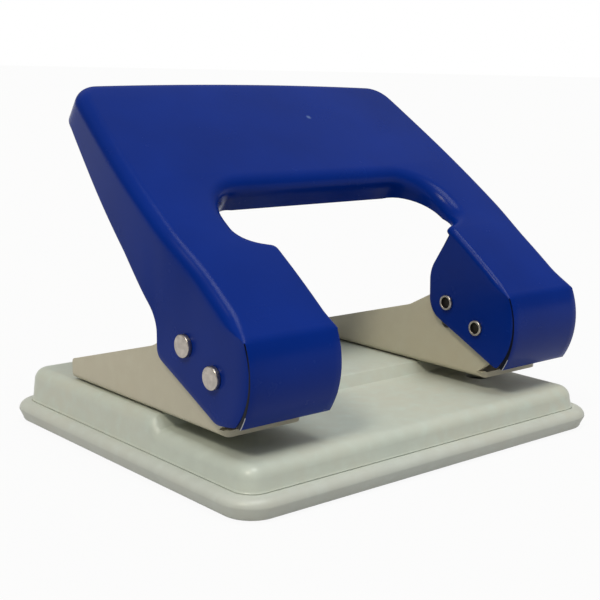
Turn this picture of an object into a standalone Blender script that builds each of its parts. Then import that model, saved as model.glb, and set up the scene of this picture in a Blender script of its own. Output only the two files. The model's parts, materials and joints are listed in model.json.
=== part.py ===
"""Two-hole paper punch with a pressed steel lever.

Everything is in metres, +Z up. The origin is the centre of the underside: X runs across
the two arms, -Y is the front where the paper goes in, and +Y is the rear.
Run it with blender --background --python part.py, or from Blender's text editor.
"""
import math

import bmesh
import bpy
from mathutils import Matrix, Vector

MM = 0.001

# Gaps shared by all pieces
SEAT_GAP = 0.3 * MM
CUT_OVERRUN = 3.0 * MM
WELD_DISTANCE = 0.001 * MM
FINE_SHARE = 0.1

# Hole pattern
HOLE_SPACING = 80.0 * MM
EDGE_TO_HOLE = 12.0 * MM

# Chip tray
BASE_WIDTH = 115.2 * MM
BASE_DEPTH = 97.8 * MM
BASE_CORNER_RADIUS = 7.2 * MM
BASE_CORNER_LEAST = 1.0 * MM
TRAY_FLOOR = 1.4 * MM
TRAY_FOOT_INSET = 0.9 * MM
TRAY_FOOT_CHAMFER = 0.9 * MM
TRAY_LIP_SIDE = 2.8 * MM
TRAY_LIP_RISE = 2.0 * MM
TRAY_LIP_ROUND = 2.4 * MM
TRAY_GROOVE_FLOOR = 2.9 * MM
TRAY_RIB_WIDTH = 1.4 * MM
TRAY_RIB_HEIGHT = 6.2 * MM

# Base plate
PLATE_SHEET = 1.2 * MM
PLATE_INSET = 3.3 * MM
PLATE_WALL_DRAFT = 0.6 * MM
PLATE_CREST_RADIUS = 3.2 * MM
TABLE_HEIGHT = 10.2 * MM
LAND_RISE = 2.9 * MM
STOP_SLOPE_LENGTH = 2.0 * MM

# Brackets
PIVOT_FROM_FRONT = 16.9 * MM
PIVOT_ABOVE_BRACKET = 12.8 * MM
BRACKET_SHEET = 1.4 * MM
BRACKET_BEND_RADIUS = 1.7 * MM
BRACKET_NOSE = 1.9 * MM
BRACKET_NOSE_RADIUS = 2.0 * MM
BRACKET_REAR = 58.4 * MM
BRACKET_REAR_HEIGHT = 4.9 * MM
BRACKET_REAR_ROUND = 1.0 * MM
BRACKET_KINK_REACH = 24.0 * MM
BRACKET_KINK_HEIGHT = 14.7 * MM
BRACKET_KINK_RADIUS = 9.0 * MM
BRACKET_CHEEK_RADIUS = 8.5 * MM
BRACKET_SHOULDER_REACH = 11.5 * MM
BRACKET_SHOULDER_RADIUS = 5.0 * MM

# Lever, in its own frame: S runs along the face from the pivot, B stands square to it
REST_ANGLE = math.radians(34.3)
SWING = math.radians(27.0)
LEVER_SHEET = 1.2 * MM
FACE_HEIGHT = 13.0 * MM
ARM_CROWN = 1.1 * MM
ARM_CROWN_REACH = 21.0 * MM
FACE_RISE = 0.3 * MM
ARM_WIDTH = 24.9 * MM
BEND_AHEAD = 2.5 * MM
BEND_RADIUS = 4.0 * MM
NOSE_REACH = 9.5 * MM
NOSE_DROP = 15.5 * MM
NOSE_BELLY = math.radians(27.0)
SIDE_FOLD_RADIUS = 3.2 * MM
ARM_FOLD_RADIUS = 1.7 * MM
OPENING_FOLD_RADIUS = 4.0 * MM
TOP_REACH = 82.3 * MM
TOP_BOW = 1.2 * MM
TOP_CORNER_RADIUS = 7.0 * MM
RIM_DEPTH = 8.6 * MM
OPENING_FLARE = 6.95 * MM
OPENING_TOP = 41.8 * MM
OPENING_TOP_RADIUS = 10.0 * MM
OPENING_LOBE_REACH = 24.5 * MM
OPENING_LOBE_RADIUS = 6.4 * MM
OPENING_RIM_DEPTH = 7.8 * MM
NECK_REACH = 22.3 * MM
NECK_RADIUS = 2.2 * MM
NECK_DEPTH = 2.8 * MM
SEAM_WIDTH = 0.45 * MM

# How far the outer flange stands out beyond the arm, as (S, amount)
SIDE_BOW = (
    (-2.5 * MM, 0.0 * MM),
    (14.4 * MM, 0.0 * MM),
    (29.0 * MM, 1.0 * MM),
    (49.5 * MM, 0.5 * MM),
    (70.5 * MM, -1.5 * MM),
    (82.3 * MM, -3.1 * MM),
)
# Free edge of the outer flange as (S, B, corner radius) from the bottom of the nose
OUTER_EDGE = (
    (-6.3 * MM, -7.5 * MM, 5.0 * MM),
    (17.0 * MM, -11.0 * MM, 2.8 * MM),
    (21.3 * MM, -3.9 * MM, 9.0 * MM),
    (38.0 * MM, 0.1 * MM, 30.0 * MM),
)
# Free edge of the inner flange, the same way
INNER_EDGE = (
    (-10.4 * MM, -4.0 * MM, 1.5 * MM),
    (14.0 * MM, -7.4 * MM, 6.0 * MM),
    (20.2 * MM, 1.0 * MM, 8.0 * MM),
)
# Front edge of each flange beside the nose, which stands back from it, as (S, B)
FLANGE_FRONT = (
    (-3.2 * MM, 16.0 * MM),
    (-3.9 * MM, 11.4 * MM),
    (-5.7 * MM, 9.7 * MM),
    (-7.3 * MM, 7.6 * MM),
    (-8.7 * MM, 5.4 * MM),
    (-10.1 * MM, 2.3 * MM),
    (-10.75 * MM, -1.0 * MM),
    (-11.1 * MM, -6.0 * MM),
)

# Pins and punches
RIVET_SHANK_DIAMETER = 3.0 * MM
RIVET_HEAD_DIAMETER = 5.1 * MM
RIVET_HEAD_HEIGHT = 1.1 * MM
RIVET_HEAD_ROUND = 0.25 * MM
RIVET_CLINCH_DIAMETER = 3.9 * MM
RIVET_CLINCH_HEIGHT = 0.8 * MM
RIVET_BORE_DIAMETER = 2.2 * MM
RIVET_BORE_DEPTH = 4.5 * MM
DRIVE_RADIUS = 10.92 * MM
DRIVE_BELOW_FACE = math.radians(8.4)
SLEEVE_WALL = 0.9 * MM
SLOT_PLAY = 0.45 * MM
PUNCH_DIAMETER = 5.6 * MM
PUNCH_SETBACK = 9.2 * MM
PUNCH_HEAD_DIAMETER = 9.6 * MM
PUNCH_HEAD_WALL = 1.55 * MM
PUNCH_HEAD_CHAMFER = 0.5 * MM
PUNCH_TIP_HOLLOW = 0.9 * MM
WASHER_THICKNESS = 0.8 * MM
SPRING_WIRE = 0.7 * MM
SPRING_MEAN_DIAMETER = 7.8 * MM
SPRING_TURNS = 4
SPRING_POINTS_PER_TURN = 9
SPRING_END_GAP = 0.5 * MM
ROUND_SHARE = 0.7

# Rivets that hold the brackets down
FIXING_HEAD_DIAMETER = 6.6 * MM
FIXING_HEAD_HEIGHT = 1.5 * MM
FIXING_TAIL_DIAMETER = 5.0 * MM
FIXING_TAIL_HEIGHT = 0.9 * MM
FIXING_FRONT_SETBACK = 11.0 * MM
FIXING_REAR_INSET = 8.5 * MM

# Facets
ROUND_STEPS = 20
CORNER_STEPS = 5
FOLD_STEPS = 4
SKIRT_STEPS = 4
STOP_STEPS = 6
CROWN_STEPS = 5
SHARP_ANGLE = math.radians(40.0)

# Places worked out from the sizes above
HALF_SPACING = HOLE_SPACING / 2
BRACKET_WIDTH = ARM_WIDTH - 2 * (LEVER_SHEET + SEAT_GAP)
OPENING_HALF_WIDTH = HALF_SPACING - ARM_WIDTH / 2 + OPENING_FLARE
LAND_HEIGHT = TABLE_HEIGHT + LAND_RISE
BRACKET_FLOOR = LAND_HEIGHT + SEAT_GAP
PIVOT_Y = PIVOT_FROM_FRONT - BASE_DEPTH / 2
PIVOT_Z = BRACKET_FLOOR + PIVOT_ABOVE_BRACKET
PUNCH_Y = PIVOT_Y + PUNCH_SETBACK
STOP_Y = PUNCH_Y + EDGE_TO_HOLE
DRIVE_START = REST_ANGLE - DRIVE_BELOW_FACE
DRIVE_END = DRIVE_START - SWING
DRIVE_REST_Z = PIVOT_Z + DRIVE_RADIUS * math.sin(DRIVE_START)
STROKE = DRIVE_RADIUS * (math.sin(DRIVE_START) - math.sin(DRIVE_END))
PIN_HOLE_RADIUS = RIVET_SHANK_DIAMETER / 2 + SEAT_GAP
PUNCH_HOLE_RADIUS = PUNCH_DIAMETER / 2 + SEAT_GAP
SIDES = (("left", -1), ("right", 1))

for stale in list(bpy.data.objects):
    bpy.data.objects.remove(stale, do_unlink=True)

parts = bpy.data.collections.new("two_hole_punch")
cutters = bpy.data.collections.new("cutters")
bpy.context.scene.collection.children.link(parts)
bpy.context.scene.collection.children.link(cutters)


def make_material(name, colour, roughness, metallic=0.0):
    """A Principled material with the plain colour of one finish."""
    material = bpy.data.materials.new(name)
    material.use_nodes = True
    shader = material.node_tree.nodes["Principled BSDF"]
    shader.inputs["Base Color"].default_value = (*colour, 1.0)
    shader.inputs["Roughness"].default_value = roughness
    shader.inputs["Metallic"].default_value = metallic
    return material


def blue_enamel(name):
    return make_material(name, (0.004, 0.02, 0.22), 0.32)


def cream_paint(name):
    return make_material(name, (0.48, 0.46, 0.36), 0.45)


def tray_plastic(name):
    return make_material(name, (0.50, 0.52, 0.46), 0.5)


def nickel_plate(name):
    return make_material(name, (0.46, 0.42, 0.38), 0.35, 1.0)


def tool_steel(name):
    return make_material(name, (0.42, 0.42, 0.43), 0.25, 1.0)


def add_object(name, mesh, material, parent=None, collection=None):
    """Put a mesh in the scene, shade its round faces smooth and set its finish."""
    mesh.shade_smooth()
    mesh.set_sharp_from_angle(angle=SHARP_ANGLE)
    piece = bpy.data.objects.new(name, mesh)
    (collection or parts).objects.link(piece)
    if material is not None:
        mesh.materials.append(material)
    if parent is not None:
        piece.parent = parent
    return piece


def add_empty(name, location, tilt=0.0):
    """An empty that stands on a joint's axis."""
    empty = bpy.data.objects.new(name, None)
    empty.location = location
    empty.rotation_euler = (tilt, 0.0, 0.0)
    parts.objects.link(empty)
    return empty


def mesh_from(bm, name):
    """Close a bmesh off as a mesh with its faces pointing out."""
    bmesh.ops.recalc_face_normals(bm, faces=bm.faces)
    mesh = bpy.data.meshes.new(name)
    bm.to_mesh(mesh)
    bm.free()
    return mesh


def cut(piece, cutter, operation="DIFFERENCE"):
    """Cut a piece with a cutter, or keep only what both hold."""
    cutter.hide_render = True
    cutter.display_type = "WIRE"
    boolean = piece.modifiers.new(cutter.name, "BOOLEAN")
    boolean.object = cutter
    boolean.operation = operation
    boolean.solver = "EXACT"


def cylinder_cutter(name, radius, length, location, axis="Z", parent=None):
    """A round cutter centred on its location."""
    bm = bmesh.new()
    bmesh.ops.create_cone(bm, cap_ends=True, segments=ROUND_STEPS, radius1=radius,
                          radius2=radius, depth=length)
    if axis == "X":
        turn = Matrix.Rotation(math.pi / 2, 3, "Y")
        bmesh.ops.rotate(bm, verts=bm.verts, matrix=turn)
    bmesh.ops.translate(bm, verts=bm.verts, vec=location)
    return add_object(name, mesh_from(bm, name), None, parent, cutters)


def fillet(before, corner, after, radius, steps):
    """Points of the arc that rounds one corner of an outline."""
    corner = Vector(corner)
    back = (Vector(before) - corner).normalized()
    ahead = (Vector(after) - corner).normalized()
    half = back.angle(ahead) / 2
    reach = radius / math.tan(half)
    centre = corner + (back + ahead).normalized() * (radius / math.sin(half))
    start = corner + back * reach - centre
    end = corner + ahead * reach - centre
    sweep = start.angle(end)
    points = []
    for step in range(steps + 1):
        share = step / steps
        blend = (start * math.sin((1 - share) * sweep) + end * math.sin(share * sweep))
        points.append(centre + blend / math.sin(sweep))
    return points


def rounded_outline(corners, steps=CORNER_STEPS, closed=True):
    """Outline through corners given as (u, v, radius), with each corner rounded."""
    points = []
    count = len(corners)
    for index, (u, v, radius) in enumerate(corners):
        at_end = not closed and index in (0, count - 1)
        if at_end or radius <= 0.0:
            points.append(Vector((u, v)))
            continue
        before = corners[index - 1][:2]
        after = corners[(index + 1) % count][:2]
        points.extend(fillet(before, (u, v), after, radius, steps))
    return points


def add_prism(bm, outline, start, end, place):
    """Extrude an outline from start to end. place(u, v, w) gives a point of it."""
    near = [bm.verts.new(place(u, v, start)) for u, v in outline]
    far = [bm.verts.new(place(u, v, end)) for u, v in outline]
    bm.faces.new(near)
    bm.faces.new(far)
    for index in range(len(outline)):
        follow = (index + 1) % len(outline)
        bm.faces.new((near[index], near[follow], far[follow], far[index]))


def prism(name, outline, start, end, place, collection=None, parent=None):
    """A prism as an object of its own, among the cutters unless told otherwise."""
    bm = bmesh.new()
    add_prism(bm, outline, start, end, place)
    return add_object(name, mesh_from(bm, name), None, parent, collection or cutters)


def side_view(u, v, w):
    """Outline in Y and Z, extruded across X."""
    return (w, u, v)


def plan_view(u, v, w):
    """Outline in X and Y, extruded up Z."""
    return (u, v, w)


def turned(name, profile, material, location, axis="Z", parent=None, flip=False):
    """Turn a profile of (radius, height) points round its axis with a Screw modifier."""
    bm = bmesh.new()
    verts = [bm.verts.new((radius, 0.0, height)) for radius, height in profile]
    for start, end in zip(verts, verts[1:]):
        bm.edges.new((start, end))
    if profile[0][0] > 0.0:
        bm.edges.new((verts[-1], verts[0]))
    mesh = bpy.data.meshes.new(name)
    bm.to_mesh(mesh)
    bm.free()
    piece = add_object(name, mesh, material, parent)
    piece.location = location
    if axis == "X":
        piece.rotation_euler = (0.0, -math.pi / 2 if flip else math.pi / 2, 0.0)
    screw = piece.modifiers.new("turn", "SCREW")
    screw.axis = "Z"
    screw.steps = ROUND_STEPS
    screw.render_steps = ROUND_STEPS
    screw.use_merge_vertices = True
    screw.merge_threshold = WELD_DISTANCE
    screw.use_smooth_shade = True
    return piece


def solidify(piece, thickness):
    """Give an open sheet its thickness on the inner side."""
    shell = piece.modifiers.new("sheet", "SOLIDIFY")
    shell.thickness = thickness
    shell.offset = -1.0
    shell.use_even_offset = True
    shell.use_quality_normals = True
    return shell


def mirror_x(piece):
    """Mirror a half that is open at the middle plane."""
    mirror = piece.modifiers.new("mirror", "MIRROR")
    mirror.use_axis = (True, False, False)
    mirror.use_mirror_merge = True
    mirror.merge_threshold = WELD_DISTANCE


def face_up(bm, face):
    """Turn all faces over if a chosen face of an open sheet points down."""
    bmesh.ops.recalc_face_normals(bm, faces=bm.faces)
    face.normal_update()
    if face.normal.z < 0.0:
        bmesh.ops.reverse_faces(bm, faces=bm.faces)


def half_rounded_rectangle(inset, stations=()):
    """Right half of the base's outline, moved in by inset, from front to rear middle."""
    half_width = BASE_WIDTH / 2 - inset
    half_depth = BASE_DEPTH / 2 - inset
    radius = max(BASE_CORNER_RADIUS - inset, BASE_CORNER_LEAST)
    front = (0.0, -half_depth)
    rear = (0.0, half_depth)
    front_corner = (half_width, -half_depth)
    rear_corner = (half_width, half_depth)
    points = [Vector(front)]
    points.extend(fillet(front, front_corner, rear_corner, radius, CORNER_STEPS))
    points.extend(Vector((half_width, station)) for station in stations)
    points.extend(fillet(front_corner, rear_corner, rear, radius, CORNER_STEPS))
    points.append(Vector(rear))
    return points


def table_top(y):
    """Height of the plate's top: the paper table in front, the land behind the stop."""
    share = (y - STOP_Y + STOP_SLOPE_LENGTH / 2) / STOP_SLOPE_LENGTH
    share = min(max(share, 0.0), 1.0)
    return TABLE_HEIGHT + LAND_RISE * share * share * (3.0 - 2.0 * share)


def build_base_plate():
    """Pressed plate: a wall that stands in the tray's groove, a crest and the table."""
    stations = [STOP_Y + STOP_SLOPE_LENGTH * (step / STOP_STEPS - 1 / 2)
                for step in range(STOP_STEPS + 1)]
    sections = [(PLATE_INSET, TRAY_GROOVE_FLOOR + SEAT_GAP, None)]
    for step in range(CORNER_STEPS + 1):
        turn = step / CORNER_STEPS * math.pi / 2
        inset = PLATE_INSET + PLATE_WALL_DRAFT + PLATE_CREST_RADIUS * (1.0 - math.cos(turn))
        sections.append((inset, None, PLATE_CREST_RADIUS * (1.0 - math.sin(turn))))
    bm = bmesh.new()
    rings = []
    for inset, height, drop in sections:
        ring = []
        for x, y in half_rounded_rectangle(inset, stations):
            z = height if drop is None else table_top(y) - drop
            ring.append(bm.verts.new((x, y, z)))
        rings.append(ring)
    for lower, upper in zip(rings, rings[1:]):
        for index in range(len(lower) - 1):
            bm.faces.new((lower[index], lower[index + 1], upper[index + 1], upper[index]))
    crest = rings[-1]
    spine = [crest[0], crest[0]]
    for vert in crest[2:-2]:
        spine.append(bm.verts.new((0.0, vert.co.y, vert.co.z)))
    spine += [crest[-1], crest[-1]]
    top = None
    for index in range(1, len(crest) - 2):
        loop = [crest[index], crest[index + 1], spine[index + 1], spine[index]]
        top = bm.faces.new(list(dict.fromkeys(loop)))
    face_up(bm, top)
    mesh = bpy.data.meshes.new("base_plate")
    bm.to_mesh(mesh)
    bm.free()
    plate = add_object("base_plate", mesh, cream_paint("base_paint"))
    mirror_x(plate)
    solidify(plate, PLATE_SHEET)
    for side, sign in SIDES:
        x = sign * HALF_SPACING
        place = (x, PUNCH_Y, TABLE_HEIGHT)
        length = 2 * (PLATE_SHEET + CUT_OVERRUN)
        cut(plate, cylinder_cutter("die_hole_" + side, PUNCH_HOLE_RADIUS, length, place))
        for row, y in fixing_rows():
            name = "plate_fixing_hole_" + row + "_" + side
            place = (x, y, LAND_HEIGHT)
            cut(plate, cylinder_cutter(name, PIN_HOLE_RADIUS, length, place))
    return plate


def build_chip_tray(parent):
    """Moulded tray: a floor, a round lip and a rib, with the plate's groove between."""
    lip_top = TRAY_LIP_SIDE + TRAY_LIP_RISE
    groove = PLATE_INSET - SEAT_GAP
    rib = PLATE_INSET + PLATE_WALL_DRAFT + PLATE_SHEET + SEAT_GAP
    sections = [(TRAY_FOOT_INSET + TRAY_FOOT_CHAMFER, 0.0), (TRAY_FOOT_INSET, TRAY_FOOT_CHAMFER)]
    for step in range(CORNER_STEPS + 1):
        turn = step / CORNER_STEPS * math.pi / 2
        inset = TRAY_LIP_ROUND * (1.0 - math.cos(turn))
        sections.append((inset, TRAY_LIP_SIDE + TRAY_LIP_RISE * math.sin(turn)))
    sections += [(groove, lip_top), (groove, TRAY_GROOVE_FLOOR), (rib, TRAY_GROOVE_FLOOR)]
    sections += [(rib, TRAY_RIB_HEIGHT), (rib + TRAY_RIB_WIDTH, TRAY_RIB_HEIGHT)]
    sections += [(rib + TRAY_RIB_WIDTH, TRAY_FLOOR)]
    bm = bmesh.new()
    rings = []
    for inset, height in sections:
        half = half_rounded_rectangle(inset)
        loop = half + [Vector((-x, y)) for x, y in reversed(half[1:-1])]
        rings.append([bm.verts.new((x, y, height)) for x, y in loop])
    for lower, upper in zip(rings, rings[1:]):
        for index in range(len(lower)):
            follow = (index + 1) % len(lower)
            bm.faces.new((lower[index], lower[follow], upper[follow], upper[index]))
    bm.faces.new(rings[0])
    bm.faces.new(rings[-1])
    return add_object("chip_tray", mesh_from(bm, "chip_tray"), tray_plastic("tray_plastic"), parent)


def fixing_rows():
    """The two places along each bracket where it is riveted to the plate."""
    front = STOP_Y + FIXING_FRONT_SETBACK
    rear = PIVOT_Y + BRACKET_REAR - FIXING_REAR_INSET
    return (("front", front), ("rear", rear))


def bracket_side_outline():
    """Outline of a bracket seen from the side, with its cheek round the pivot."""
    cheek_top = PIVOT_ABOVE_BRACKET + BRACKET_CHEEK_RADIUS
    notch = BRACKET_SHEET + SEAT_GAP
    outline = rounded_outline((
        (BRACKET_REAR, -CUT_OVERRUN, 0.0),
        (BRACKET_REAR, BRACKET_REAR_HEIGHT, BRACKET_REAR_ROUND),
        (BRACKET_KINK_REACH, BRACKET_KINK_HEIGHT, BRACKET_KINK_RADIUS),
        (BRACKET_SHOULDER_REACH, cheek_top, BRACKET_SHOULDER_RADIUS),
        (0.0, cheek_top, 0.0),
    ), closed=False)
    sweep = math.pi - math.acos(BRACKET_CHEEK_RADIUS / (PIVOT_ABOVE_BRACKET - notch))
    for step in range(1, 2 * CORNER_STEPS + 1):
        turn = math.pi / 2 + sweep * step / (2 * CORNER_STEPS)
        u = BRACKET_CHEEK_RADIUS * math.cos(turn)
        v = PIVOT_ABOVE_BRACKET + BRACKET_CHEEK_RADIUS * math.sin(turn)
        outline.append(Vector((u, v)))
    outline.append(Vector((0.0, notch)))
    outline.append(Vector((-BRACKET_NOSE, notch)))
    outline.append(Vector((-BRACKET_NOSE, -CUT_OVERRUN)))
    return [Vector((PIVOT_Y + u, BRACKET_FLOOR + v)) for u, v in outline]


def nose_corner_outline(x, hand):
    """What rounding one front corner of a bracket's floor takes away, from above."""
    edge = x + hand * BRACKET_WIDTH / 2
    front = PIVOT_Y - BRACKET_NOSE
    beside = (edge, front + BRACKET_NOSE_RADIUS)
    ahead = (edge - hand * BRACKET_NOSE_RADIUS, front)
    arc = fillet(ahead, (edge, front), beside, BRACKET_NOSE_RADIUS, CORNER_STEPS)
    clear = edge + hand * CUT_OVERRUN
    corners = [Vector((clear, beside[1])), Vector((clear, front - CUT_OVERRUN))]
    corners.append(Vector((ahead[0], front - CUT_OVERRUN)))
    return corners + arc


def drive_slot_outline():
    """Curved slot that the drive pin sweeps in a bracket's cheeks."""
    half = RIVET_SHANK_DIAMETER / 2 + SLOT_PLAY
    points = []
    outer = (DRIVE_RADIUS + half, DRIVE_START, DRIVE_END, DRIVE_END)
    inner = (DRIVE_RADIUS - half, DRIVE_END, DRIVE_START, DRIVE_START + math.pi)
    for radius, first, last, outward in (outer, inner):
        for step in range(CORNER_STEPS + 1):
            turn = first + (last - first) * step / CORNER_STEPS
            points.append(Vector((radius * math.cos(turn), radius * math.sin(turn))))
        centre = Vector((DRIVE_RADIUS * math.cos(last), DRIVE_RADIUS * math.sin(last)))
        for step in range(1, CORNER_STEPS):
            turn = outward - step / CORNER_STEPS * math.pi
            points.append(centre + half * Vector((math.cos(turn), math.sin(turn))))
    return [Vector((PIVOT_Y + u, PIVOT_Z + v)) for u, v in points]


def build_bracket(side, sign):
    """Folded channel that carries the pivot, with cheeks rising round the pins."""
    name = "bracket_" + side
    x = sign * HALF_SPACING
    half = BRACKET_WIDTH / 2
    top = BRACKET_FLOOR + PIVOT_ABOVE_BRACKET + BRACKET_CHEEK_RADIUS + CUT_OVERRUN
    section = rounded_outline((
        (x - half, top, 0.0),
        (x - half, BRACKET_FLOOR, BRACKET_BEND_RADIUS),
        (x + half, BRACKET_FLOOR, BRACKET_BEND_RADIUS),
        (x + half, top, 0.0),
    ), closed=False)
    front = PIVOT_Y - BRACKET_CHEEK_RADIUS - CUT_OVERRUN
    rear = PIVOT_Y + BRACKET_REAR + 2 * CUT_OVERRUN
    bm = bmesh.new()
    near = [bm.verts.new((u, front, v)) for u, v in section]
    far = [bm.verts.new((u, rear, v)) for u, v in section]
    for index in range(len(section) - 1):
        bm.faces.new((near[index], near[index + 1], far[index + 1], far[index]))
    bmesh.ops.recalc_face_normals(bm, faces=bm.faces)
    bm.faces.ensure_lookup_table()
    floor = min(bm.faces, key=lambda face: face.calc_center_median().z)
    if floor.normal.z > 0.0:
        bmesh.ops.reverse_faces(bm, faces=bm.faces)
    mesh = bpy.data.meshes.new(name)
    bm.to_mesh(mesh)
    bm.free()
    bracket = add_object(name, mesh, cream_paint(name + "_paint"))
    solidify(bracket, BRACKET_SHEET)
    reach = half + CUT_OVERRUN
    outline = bracket_side_outline()
    cut(bracket, prism(name + "_side", outline, x - reach, x + reach, side_view), "INTERSECT")
    for end, hand in SIDES:
        corner = nose_corner_outline(x, hand)
        under = BRACKET_FLOOR - CUT_OVERRUN
        over = BRACKET_FLOOR + BRACKET_SHEET + SEAT_GAP / 2
        cut(bracket, prism(name + "_nose_" + end, corner, under, over, plan_view))
    slot = prism(name + "_slot", drive_slot_outline(), x - reach, x + reach, side_view)
    cut(bracket, slot)
    pivot = (x, PIVOT_Y, PIVOT_Z)
    cut(bracket, cylinder_cutter(name + "_pivot_hole", PIN_HOLE_RADIUS, 2 * reach, pivot, "X"))
    length = 2 * (BRACKET_SHEET + CUT_OVERRUN)
    place = (x, PUNCH_Y, BRACKET_FLOOR)
    cut(bracket, cylinder_cutter(name + "_punch_hole", PUNCH_HOLE_RADIUS, length, place))
    for row, y in fixing_rows():
        hole = name + "_fixing_hole_" + row
        place = (x, y, BRACKET_FLOOR)
        cut(bracket, cylinder_cutter(hole, PIN_HOLE_RADIUS, length, place))
    return bracket


def side_half_width(s):
    """Half width of the lever across its outer flanges, which bow out a little."""
    foot = HALF_SPACING + ARM_WIDTH / 2
    if s <= SIDE_BOW[1][0]:
        return foot
    index = 1
    while index < len(SIDE_BOW) - 2 and s > SIDE_BOW[index + 1][0]:
        index += 1
    slopes = []
    for knot in (index, index + 1):
        before = SIDE_BOW[max(knot - 1, 0)]
        after = SIDE_BOW[min(knot + 1, len(SIDE_BOW) - 1)]
        level = knot == 1
        slopes.append(0.0 if level else (after[1] - before[1]) / (after[0] - before[0]))
    (start, near), (end, far) = SIDE_BOW[index], SIDE_BOW[index + 1]
    run = end - start
    t = (s - start) / run
    bow = near * (1.0 + 2.0 * t) * (1.0 - t) ** 2 + far * t * t * (3.0 - 2.0 * t)
    bow += run * (slopes[0] * t * (1.0 - t) ** 2 - slopes[1] * t * t * (1.0 - t))
    return foot + bow


def face_height(s):
    """Height of the face above the pivot: the arms fall away to the nose in flat steps."""
    if s >= ARM_CROWN_REACH:
        share = (s - ARM_CROWN_REACH) / (TOP_REACH - ARM_CROWN_REACH)
        return FACE_HEIGHT + ARM_CROWN + FACE_RISE * share
    share = max((s + BEND_AHEAD) / (ARM_CROWN_REACH + BEND_AHEAD), 0.0)
    near = math.floor(share * CROWN_STEPS) / CROWN_STEPS
    far = near + 1.0 / CROWN_STEPS
    part = (share - near) / (far - near)
    height = near * (2.0 - near) * (1.0 - part) + far * (2.0 - far) * part
    return FACE_HEIGHT + ARM_CROWN * height


def nose_line():
    """Points (S, B) down the nose: the bend from the face, then a long shallow arc."""
    foot = Vector((-BEND_AHEAD - NOSE_REACH, FACE_HEIGHT - NOSE_DROP))
    corner = Vector((-BEND_AHEAD, FACE_HEIGHT))
    chord = foot - corner
    slope = math.atan2(-chord.y, -chord.x) - NOSE_BELLY
    start = -BEND_AHEAD + BEND_RADIUS * math.tan(slope / 2)
    level = face_height(start)
    points = []
    for step in range(FOLD_STEPS + 1):
        turn = slope * step / FOLD_STEPS
        drop = BEND_RADIUS * (1.0 - math.cos(turn))
        points.append(Vector((start - BEND_RADIUS * math.sin(turn), level - drop)))
    top = points[-1]
    run = foot - top
    half_sweep = math.atan2(-run.y, -run.x) - slope
    radius = run.length / (2.0 * math.sin(half_sweep))
    for step in range(1, SKIRT_STEPS + 1):
        turn = slope + 2.0 * half_sweep * step / SKIRT_STEPS
        ahead = radius * (math.sin(turn) - math.sin(slope))
        drop = radius * (math.cos(slope) - math.cos(turn))
        points.append(Vector((top.x - ahead, top.y - drop)))
    return points


def path_shares(points):
    """How far along a run of points each one lies, as a share of the whole."""
    lengths = [0.0]
    for start, end in zip(points, points[1:]):
        lengths.append(lengths[-1] + (end - start).length)
    return [length / lengths[-1] for length in lengths]


def skirt_column(outline_point, outward, fold_radius, edge_point):
    """Points from the face over a fold and down a flange to its free edge."""
    flat = outline_point - outward * fold_radius
    column = []
    for step in range(FOLD_STEPS + 1):
        turn = step / FOLD_STEPS * math.pi / 2
        x, s = flat + outward * (fold_radius * math.sin(turn))
        column.append(Vector((x, s, face_height(s) - fold_radius * (1.0 - math.cos(turn)))))
    start = column[-1]
    for step in range(1, SKIRT_STEPS + 1):
        column.append(start.lerp(edge_point, step / SKIRT_STEPS))
    return column


def corner_column(x, hand, fold_radius):
    """Column where a side flange and the nose meet, down the corner of an arm."""
    column = []
    for step, (s, b) in enumerate(nose_line()):
        turn = min(step / FOLD_STEPS, 1.0) * math.pi / 2
        column.append(Vector((x - hand * fold_radius * (1.0 - math.sin(turn)), s, b)))
    return column


def side_columns(edge, last, width_at, hand, fold_radius):
    """Columns of a flange beside an arm. last is where its free edge and outline end."""
    nose = nose_line()
    foot = nose[-1]
    corners = [(foot.x, foot.y, 0.0), *edge, (last.x, last.y, 0.0)]
    free = rounded_outline(corners, CORNER_STEPS, closed=False)
    shares = path_shares(free)
    first = nose[0].x
    columns = []
    for point, share in zip(free[1:], shares[1:]):
        s = first + (last.x - first) * share
        outline = Vector((width_at(s), s))
        edge_point = Vector((width_at(point.x), point.x, point.y))
        columns.append(skirt_column(outline, Vector((hand, 0.0)), fold_radius, edge_point))
    return columns


def rim_columns(outline, fold_radii, depths):
    """Columns of a rim that stands square to the face all along an outline."""
    columns = []
    for index in range(1, len(outline) - 1):
        along = (outline[index + 1] - outline[index - 1]).normalized()
        outward = Vector((-along.y, along.x))
        x, s = outline[index]
        edge_point = Vector((x, s, face_height(s) - depths[index]))
        columns.append(skirt_column(outline[index], outward, fold_radii[index], edge_point))
    return columns


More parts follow.
